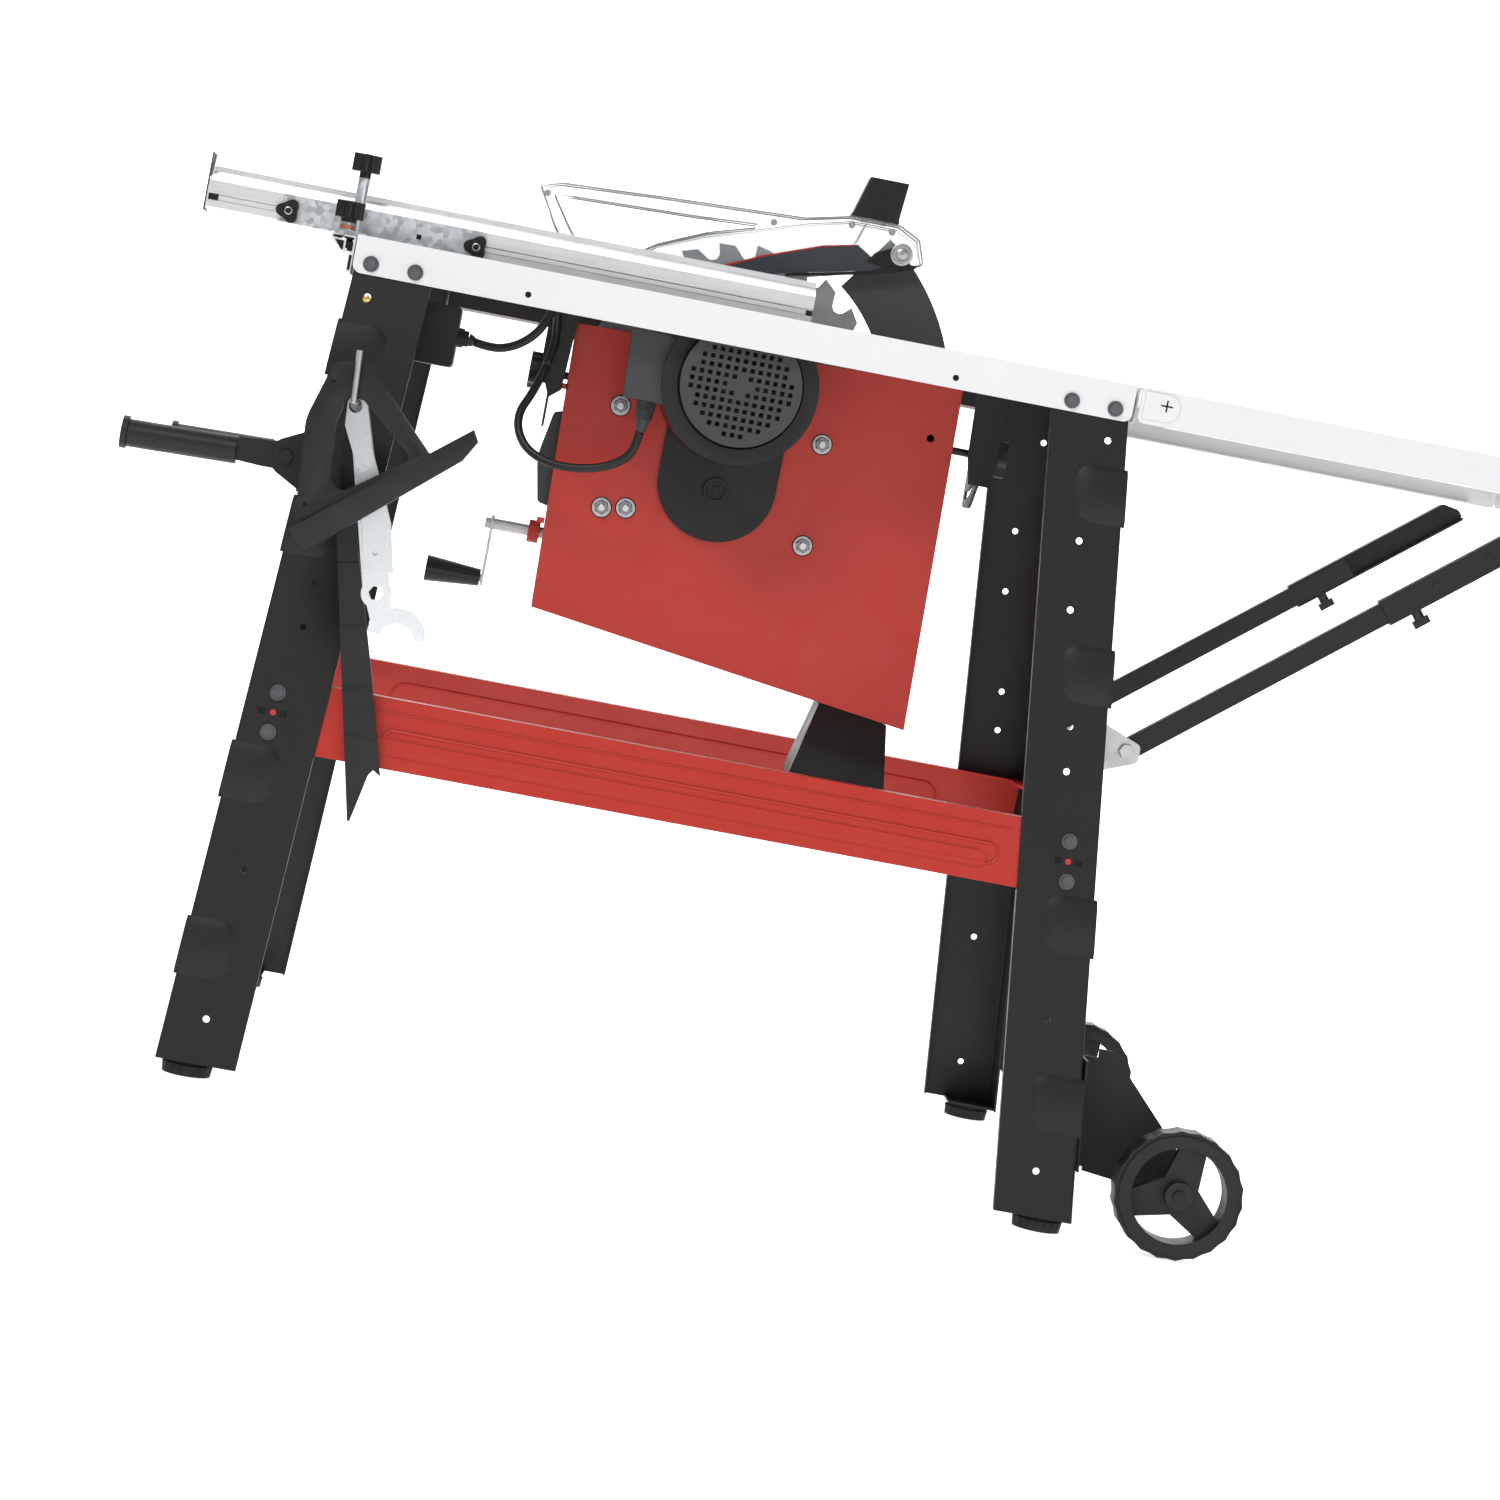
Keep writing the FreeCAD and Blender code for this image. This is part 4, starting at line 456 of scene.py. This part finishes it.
# ---- cables ----------------------------------------------------------------------------
CABLE_D = 0.009
SWITCH_CABLE = [(131.2, -180, -81.44), (150, -180, -84.9), (172, -184, -79), (191, -187, -64), (202, -187, -44),
                (205, -180, -24), (207, -162, -14), (208, -145, -22), (211, -137, -44),
                (213.3, -136.7, -67.1), (208, -142, -90)]
MOTOR_CABLE = [(207.93, -142.07, -90.3), (201.8, -148.2, -116.7), (187, -160, -147), (199, -175, -177),
               (230, -186, -190), (262, -193, -189), (290, -198, -181), (308, -201, -168), (313.7, -202.85, -153),
               (314.77, -203.39, -140.3)]


def cable_line(name, route):
    """Points along the smooth NURBS line that a route's corners control."""
    curve = bpy.data.curves.new(name + "_line", "CURVE")
    curve.dimensions = "3D"
    curve.resolution_u = 10
    spline = curve.splines.new("NURBS")
    spline.points.add(len(route) - 1)
    for point, corner in zip(spline.points, route):
        point.co = (*at(*corner), 1)
    spline.order_u = 3
    spline.use_endpoint_u = True
    holder = add_object(name + "_line", curve)
    line = bpy.data.meshes.new_from_object(holder)
    points = [v.co.copy() for v in line.vertices]
    bpy.data.objects.remove(holder)
    bpy.data.meshes.remove(line)
    return points


def tube_mesh(name, points, radius, sides=16):
    """Closed tube around a line of points, with its frame carried along without twist."""
    build = bmesh.new()
    tangent = (points[1] - points[0]).normalized()
    side = tangent.orthogonal().normalized()
    rings = []
    for i, point in enumerate(points):
        ahead = points[min(i + 1, len(points) - 1)] - points[max(i - 1, 0)]
        tangent = ahead.normalized()
        side = (side - tangent * side.dot(tangent)).normalized()
        rings.append(round_ring(build, point, side, tangent.cross(side), radius, sides))
    for low, high in zip(rings, rings[1:]):
        bridge(build, low, high)
    cap_ends(build, rings)
    bmesh.ops.recalc_face_normals(build, faces=build.faces)
    mesh = mesh_from(build, name)
    for polygon in mesh.polygons:
        polygon.use_smooth = len(polygon.vertices) == 4
    return add_object(name, mesh)


def cable(name, route):
    """Lead along a curved route between two bodies, which stands for a CAD node."""
    line = cable_line(name, route)
    piece = tube_mesh(name + "_looks", line, CABLE_D / 2)
    paint(piece, "cable")
    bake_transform(piece)
    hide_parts(name)


# ---- small fittings --------------------------------------------------------------------
def lathe(build, base, axis, profile, sides=24):
    """Turned solid, or a hexagon with six sides; profile is (height, radius) pairs in mm from base."""
    axis = Vector(axis).normalized()
    side = axis.orthogonal().normalized()
    across = axis.cross(side)
    rings = []
    for height, radius in profile:
        ring = []
        for k in range(sides):
            angle = 2 * math.pi * k / sides
            arm = side * math.cos(angle) + across * math.sin(angle)
            ring.append(build.verts.new(base + (axis * height + arm * radius) * MM))
        rings.append(ring)
    for low, high in zip(rings, rings[1:]):
        bridge(build, low, high)
    cap_ends(build, rings)


def prism(build, outline, y0, y1):
    """Solid between two planes across the saw; the outline is (x, dz) corners, and y may be a rule of dz."""
    near = y0 if callable(y0) else lambda dz: y0
    far = y1 if callable(y1) else lambda dz: y1
    front = [build.verts.new(at(x, near(dz), dz)) for x, dz in outline]
    back = [build.verts.new(at(x, far(dz), dz)) for x, dz in outline]
    build.faces.new(front)
    build.faces.new(list(reversed(back)))
    for k in range(len(outline)):
        n = (k + 1) % len(outline)
        build.faces.new((front[k], back[k], back[n], front[n]))


def cord_round(build, points, radius, closed=True, sides=8):
    """Round bead along a line of points in mm, closed or with capped ends."""
    count = len(points)
    rings = []
    side = None
    for i in range(count):
        before = points[(i - 1) % count] if closed or i else points[0]
        after = points[(i + 1) % count] if closed or i < count - 1 else points[-1]
        tangent = (after - before).normalized()
        side = (tangent.orthogonal() if side is None else side - tangent * side.dot(tangent)).normalized()
        rings.append(round_ring(build, points[i], side, tangent.cross(side), radius * MM, sides))
    pairs = list(zip(rings, rings[1:]))
    if closed:
        pairs.append((rings[-1], rings[0]))
    else:
        cap_ends(build, rings)
    for low, high in pairs:
        bridge(build, low, high)


def fitted(name, look, body, slot, *makers):
    """One mesh of small parts that rides a body; each maker adds to the mesh."""
    build = bmesh.new()
    for maker in makers:
        maker(build)
    bmesh.ops.recalc_face_normals(build, faces=build.faces)
    mesh = mesh_from(build, name)
    shade_smooth(mesh, SHARP_ANGLE)
    piece = add_object(name, mesh)
    paint(piece, look)
    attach(piece, body)


def turned(x, y, dz, axis, *profile, sides=24):
    """Maker of a turned solid."""
    return lambda build: lathe(build, at(x, y, dz), axis, profile, sides)


def plate(outline, y0, y1):
    """Maker of a flat plate."""
    return lambda build: prism(build, outline, y0, y1)


def bead(points, radius, closed=True):
    """Maker of a round bead."""
    return lambda build: cord_round(build, [at(*p) for p in points], radius, closed)


def stadium(x0, x1, low, high, y):
    """Points round a long slot shape on a face whose y is a rule of dz."""
    radius, middle = (high - low) / 2, (high + low) / 2
    points = []
    for centre, start in ((x1 - radius, -90), (x0 + radius, 90)):
        for step in range(9):
            angle = math.radians(start + 22.5 * step)
            dz = middle + radius * math.sin(angle)
            points.append((centre + radius * math.cos(angle), y(dz), dz))
    return points


LEG_LEAN = 0.147
LEG_FACE = 273.3
LEG_EDGE_FRONT = 1.7
LEG_EDGE_REAR = 798.3
LEG_SPREAD_FRONT = 0.056
LEG_SPREAD_REAR = 0.105
APRON_EDGE = -38.0


def leg_face(side, out=0.0):
    """Rule that gives a leg's outer face, moved outward by out mm, at each dz."""
    return lambda dz: side * (LEG_FACE + out + LEG_LEAN * (APRON_EDGE - dz))


def leg_x(front, dz):
    """x of a leg's outer edge."""
    drop = APRON_EDGE - dz
    if front:
        return LEG_EDGE_FRONT - LEG_SPREAD_FRONT * drop
    return LEG_EDGE_REAR + LEG_SPREAD_REAR * drop


PAD_DZ = (-115.0, -296.0, -545.0, -722.0)
PAD_CORNER = 13
PAD_STRAIGHT = 10
PAD_OVERLAP = -2.8
PAD_HEIGHT = 2.9
PAD_REACH_SIDE = 44
PAD_REACH_END = 36


def pad_outline(reach, grow, dz):
    """D-shaped outline of a pressed pad round a height on the leg, as (along, dz)."""
    radius = PAD_CORNER + grow
    half = PAD_STRAIGHT + radius
    points = [(PAD_OVERLAP, dz - half)]
    for sign, start in ((-1, -90), (1, 0)):
        for step in range(6):
            angle = math.radians(start + 18 * step)
            points.append((reach - PAD_CORNER + radius * math.cos(angle),
                           dz + sign * PAD_STRAIGHT + radius * math.sin(angle)))
    points.append((PAD_OVERLAP, dz + half))
    return points


def pressed_pad(front, side, on_side, dz):
    """Chamfered pad on a leg's outer side face, or on its end face."""
    step = 1 if front else -1

    def spot(point, out):
        along, height = point
        face = LEG_FACE + LEG_LEAN * (APRON_EDGE - height)
        if on_side:
            return at(leg_x(front, height) + step * along, side * (face + out), height)
        return at(leg_x(front, height) - step * out, side * (face - along), height)

    def make(build):
        reach = PAD_REACH_SIDE if on_side else PAD_REACH_END
        low = [build.verts.new(spot(p, 0.02)) for p in pad_outline(reach, 6, dz)]
        top = [build.verts.new(spot(p, PAD_HEIGHT)) for p in pad_outline(reach, 0.2, dz)]
        build.faces.new(top)
        bridge(build, low, top)
    return make


def leg_pads():
    """Pressed pads on the side and end faces of all four legs."""
    for side, side_name in ((-1, "right"), (1, "left")):
        for front, end_name in ((True, "front"), (False, "rear")):
            fitted(side_name + "_" + end_name + "_pads", "black", "stand", "black_powder",
                   *[pressed_pad(front, side, on_side, dz) for on_side in (True, False) for dz in PAD_DZ])


GUARD_HALF = 17.0


def guard_fittings():
    """Edges, blank panel, lower strip and screws of the guard."""
    near = -GUARD_HALF
    outline = [(167, 99), (189, 105.5), (300, 112), (450, 119), (498, 130), (552, 130), (574, 119), (583, 94),
               (552, 83), (480, 64), (400, 43.8), (372, 38), (258, 19), (222, 19), (189, 60)]
    window = [(183, 92.5), (205, 94), (330, 98.5), (400, 102.5), (399, 98.5), (350, 84), (300, 62), (262, 36),
              (241, 28), (229, 30), (204, 62)]
    inner = [(276, 40), (300, 59), (350, 81), (402, 97), (452, 113), (500, 125), (549, 125)]
    for side, tag in ((near, "near"), (-near, "far")):
        fitted("guard_rim_" + tag, "rim", "guard", "clear_guard",
               bead([(x, side, dz) for x, dz in outline], 0.9), bead([(x, side, dz) for x, dz in window], 0.8),
               bead([(x, side, dz) for x, dz in inner], 0.5, closed=False),
               bead([(508, side, 103), (516, side, 127)], 0.5, closed=False))
    fitted("guard_panel", "label", "guard", "black_plastic",
           plate([(366, 48), (392, 60), (411, 69), (474, 92.5), (511, 101), (541, 83.4), (528, 77), (440, 57.5),
                  (372, 40)], near - 1.0, near - 0.1))
    fitted("guard_panel_line", "red_plastic", "guard", "red_paint",
           plate([(366, 48), (392, 60), (411, 69), (474, 92.5), (511, 101), (512, 102.2), (473.5, 94), (410, 70.5),
                  (391, 61.5), (364, 49.5)], near - 1.1, near - 0.1))
    fitted("guard_lower_strip", "gloss", "guard", "black_plastic",
           plate([(440, 54.2), (528, 73), (573, 86), (578, 91), (556, 91.5), (541, 83.2), (528, 76.8), (440, 57.3)],
                 near - 1.4, near - 0.1),
           plate([(523, 86), (530, 97), (551, 107), (566, 103), (564, 92), (541, 84)], near - 2.6, near - 1.4))
    screws = [turned(x, near, dz, (0, -1, 0), (0, 3.6), (1.4, 3.6), (2.2, 2.6), (2.2, 1.2), (1.2, 1.2))
              for x, dz in ((175, 92.5), (417.5, 108), (500, 121.5), (543.5, 122))]
    screws.append(turned(558, near - 2.6, 100, (0, -1, 0), (0, 12), (1.2, 12), (1.6, 11), (1.6, 9.3)))
    screws.append(turned(558, near - 9, 100, (0, -1, 0), (0, 7), (1.4, 6.4), (2.4, 4.0), (2.6, 1.0)))
    fitted("guard_screws", "zinc", "guard", "zinc", *screws)


ADAPTER_X = 523
ADAPTER_DZ = 131.4
ADAPTER_LEAN = 0.19
ADAPTER_CORNER = 3


def adapter():
    """Hose spigot of rounded rectangular section, open at the top, that stands for the adapter."""
    build = bmesh.new()
    rings = []
    for height, half_x, half_y, inset in ((0, 26, 22, 0), (3, 26, 22, 0), (3, 25, 21, 0), (44, 21, 19.5, 0),
                                          (44, 21, 19.5, 2.2), (4, 25, 21, 2.2)):
        ring = []
        for sx, sy, start in ((1, 1, 0), (-1, 1, 90), (-1, -1, 180), (1, -1, 270)):
            for step in range(4):
                angle = math.radians(start + 30 * step)
                across = half_y - inset - ADAPTER_CORNER
                along = half_x - inset - ADAPTER_CORNER
                x = ADAPTER_X + ADAPTER_LEAN * height + sx * along + ADAPTER_CORNER * math.cos(angle)
                y = sy * across + ADAPTER_CORNER * math.sin(angle)
                ring.append(build.verts.new(at(x, y, ADAPTER_DZ + height)))
        rings.append(ring)
    for low, high in zip(rings, rings[1:]):
        bridge(build, low, high)
    cap_ends(build, rings)
    bmesh.ops.recalc_face_normals(build, faces=build.faces)
    piece = add_object("dust_adapter_looks", mesh_from(build, "dust_adapter_looks"))
    paint(piece, "plastic")
    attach(piece, "guard")
    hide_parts("dust_adapter")


def panel_nuts():
    """Hexagon nuts over painted shadow rings on the housing panel, with red nibs on its front edge."""
    spots = ((292, -116), (507, -116), (292, -224), (507, -224), (317, -220))
    # Near-black discs behind the nuts: painted shadow rings round each nut on the panel.
    fitted("panel_nut_shadows", "painted_shade", "tilt_unit", "zinc",
           *[turned(x, -109.95, dz, (0, -1, 0), (0, 11.2), (0.5, 11.0)) for x, dz in spots])
    fitted("panel_nuts", "dull_nut", "tilt_unit", "zinc",
           *[turned(x, -111.6, dz, (0, -1, 0), (0, 7.9), (5.6, 7.9), (6.4, 7.0), sides=6) for x, dz in spots])
    fitted("panel_studs", "steel", "tilt_unit", "zinc",
           *[turned(x, -118, dz, (0, -1, 0), (0, 3.8), (2.0, 3.8), (2.6, 3.2)) for x, dz in spots])
    fitted("housing_nibs", "red", "tilt_unit", "red_paint",
           plate([(228, -104), (234, -104), (234, -110), (228, -110)], -110, -104),
           plate([(228, -246), (236, -246), (236, -252), (228, -252)], -110, -104))
    fitted("bracket_gussets", "black", "stand", "black_powder",
           plate([(200, -4), (236, -4), (231, -60), (228, -112), (216, -122), (210, -108)], -131, -129),
           plate([(654, -4), (688, -4), (690, -60), (688, -128), (664, -128), (658, -100)], -131, -129))
    # Black strip inside the far apron: partly a support rail, partly painted shade under the table top.
    fitted("inner_rail_and_painted_shade", "black", "stand", "black_powder",
           plate([(84, -3.2), (716, -3.2), (716, -35), (84, -35)], 268.5, 270.5))


FENCE_FACE_Y = -188.0


def fence_fittings():
    """Slot strip, end cap and plugs of the fence, and the small parts of its carrier."""
    y = FENCE_FACE_Y
    fitted("fence_slot_strip", "fence", "fence", "aluminium",
           plate([(-160, 10.4), (466, 10.4), (466, 15.4), (-160, 15.4)], y + 0.5, y + 1.6))
    fitted("fence_end_cap", "grey", "fence", "black_plastic",
           plate([(-164.4, -2), (-163.1, -2), (-163.1, 58), (-164.4, 58)], y - 0.6, -151))
    fitted("fence_slot_plugs", "gloss", "fence", "black_plastic",
           plate([(-161, 9.9), (-151, 9.9), (-151, 16.1), (-161, 16.1)], y - 1.2, y + 1.0),
           plate([(460, 9.9), (466.5, 9.9), (466.5, 15), (460, 15)], y - 1.0, y + 1.0))
    for name, x in (("front_fence_nut", -78), ("rear_fence_nut", 116)):
        fitted(name + "_core", "zinc", name, "zinc",
               turned(x, -199.6, 13, (0, -1, 0), (0, 4.2), (0.5, 4.2), (0.9, 3.4), (0.9, 0.5)))
        fitted(name + "_ring", "gloss", name, "black_plastic",
               turned(x, -199.6, 13, (0, -1, 0), (0, 7.0), (0.6, 7.0), (0.9, 6.6), (0.9, 4.6), (0.2, 4.4)))
    fitted("carrier_tabs", "galvanised", "fence_carrier", "galvanised",
           plate([(-63, 3), (-48, 3), (-54, 10)], -192.6, -191), plate([(35, 3), (50, 3), (44, 10)], -192.6, -191),
           plate([(-88, 0.8), (-84, 0.8), (124, 0.8), (124, 3.2), (-84, 3.2), (-88, 3.2)], -195, -191))
    # Near-black plate: painted shade for the hole in the carrier.
    fitted("carrier_hole", "painted_shade", "fence_carrier", "black_plastic",
           plate([(54, 10), (59, 10), (59, 15), (54, 15)], -191.3, -190.9))
    fitted("carrier_pad", "copper", "fence_carrier", "zinc",
           turned(-15, -220, 5.4, (0, 0, 1), (0, 7.4), (0.4, 7.8), (3.2, 7.8), (3.6, 7.4)))


def rail_end():
    """Openings in the cut end of the guide rail, drawn as near-black plates of painted shade."""
    y0, y1 = -275.4, -274.9
    fitted("guide_rail_voids", "painted_shade", "stand", "aluminium",
           plate([(-24, -4.5), (-15, -4.5), (-15, -7), (-24, -7)], y0, y1),
           plate([(-12.6, -4.5), (-3, -4.5), (-3, -6.6), (-12.6, -6.6)], y0, y1),
           plate([(-22, -9), (-12.5, -9), (-12.5, -18.2), (-14, -18.2)], y0, y1),
           plate([(-10.4, -9), (-3, -9), (-3, -18.4), (-8, -18.4)], y0, y1),
           plate([(-5, -22), (-2.2, -22), (-2.2, -37), (-5, -37)], y0, y1))


def stand_fittings():
    """Screws, slots and raised beads on the legs and rails of both sides."""
    beads, slots, reds = [], [], []
    for side in (-1, 1):
        face = leg_face(side, 0.15)
        for front in (True, False):
            step = 1 if front else -1
            x = leg_x(front, -483)
            for near, far in ((15, 23), (36, 44)):
                slots.append(plate([(x + step * near, -486), (x + step * far, -486), (x + step * far, -480),
                                    (x + step * near, -480)], face, leg_face(side, -0.4)))
            reds.append(turned(x + step * 30, face(-483), -483, (0, side, 0), (0, 3.2), (0.4, 3.0)))
        web = leg_face(side, -1.7)
        beads.append(bead(stadium(118, 744, -499, -479, web), 1.5))
        beads.append(bead([(92, web(-462), -462), (752, web(-462), -462)], 1.0, closed=False))
        back = leg_face(side, -4.0)
        beads.append(bead(stadium(100, 742, -503, -470, back), 1.6))
    # The leg slots are near-black plates on the leg faces: painted shade for the openings.
    fitted("leg_slots", "painted_shade", "stand", "black_powder", *slots)
    fitted("leg_dots", "red", "stand", "red_paint", *reds)
    fitted("rail_beads", "red", "stand", "red_paint", *beads)
    face = leg_face(-1)
    fitted("leg_screw", "brass", "stand", "zinc",
           turned(20, face(-62), -62, (0, -1, 0), (0, 3.8), (1.0, 3.8), (1.6, 2.8), (1.6, 0.8), (0.9, 0.8)))
    table_y = TABLE_HIGH.y / MM
    screw_x = 833.0
    fitted("levelling_screw", "table", "extension", "table_sheet",
           turned(screw_x, -table_y, -14.8, (0, -1, 0), (0, 11), (1.0, 11), (1.5, 10.4), (1.5, 2)))
    # Near-black plates: painted shade for the cross recess in the levelling screw's head.
    fitted("levelling_slot", "painted_shade", "extension", "black_plastic",
           plate([(screw_x - 6, -15.6), (screw_x + 6, -15.6), (screw_x + 6, -14), (screw_x - 6, -14)],
                 -table_y - 1.8, -table_y - 1.4),
           plate([(screw_x - 0.8, -20.8), (screw_x + 0.8, -20.8),
                  (screw_x + 0.8, -8.8), (screw_x - 0.8, -8.8)],
                 -table_y - 1.8, -table_y - 1.4))


camera()
studio()
paint_frame()
guard_fittings()
adapter()
panel_nuts()
softened("push_block", 1.4)
fence_fittings()
rail_end()
stand_fittings()
leg_pads()
cable("switch_cable", SWITCH_CABLE)
cable("motor_cable", MOTOR_CABLE)
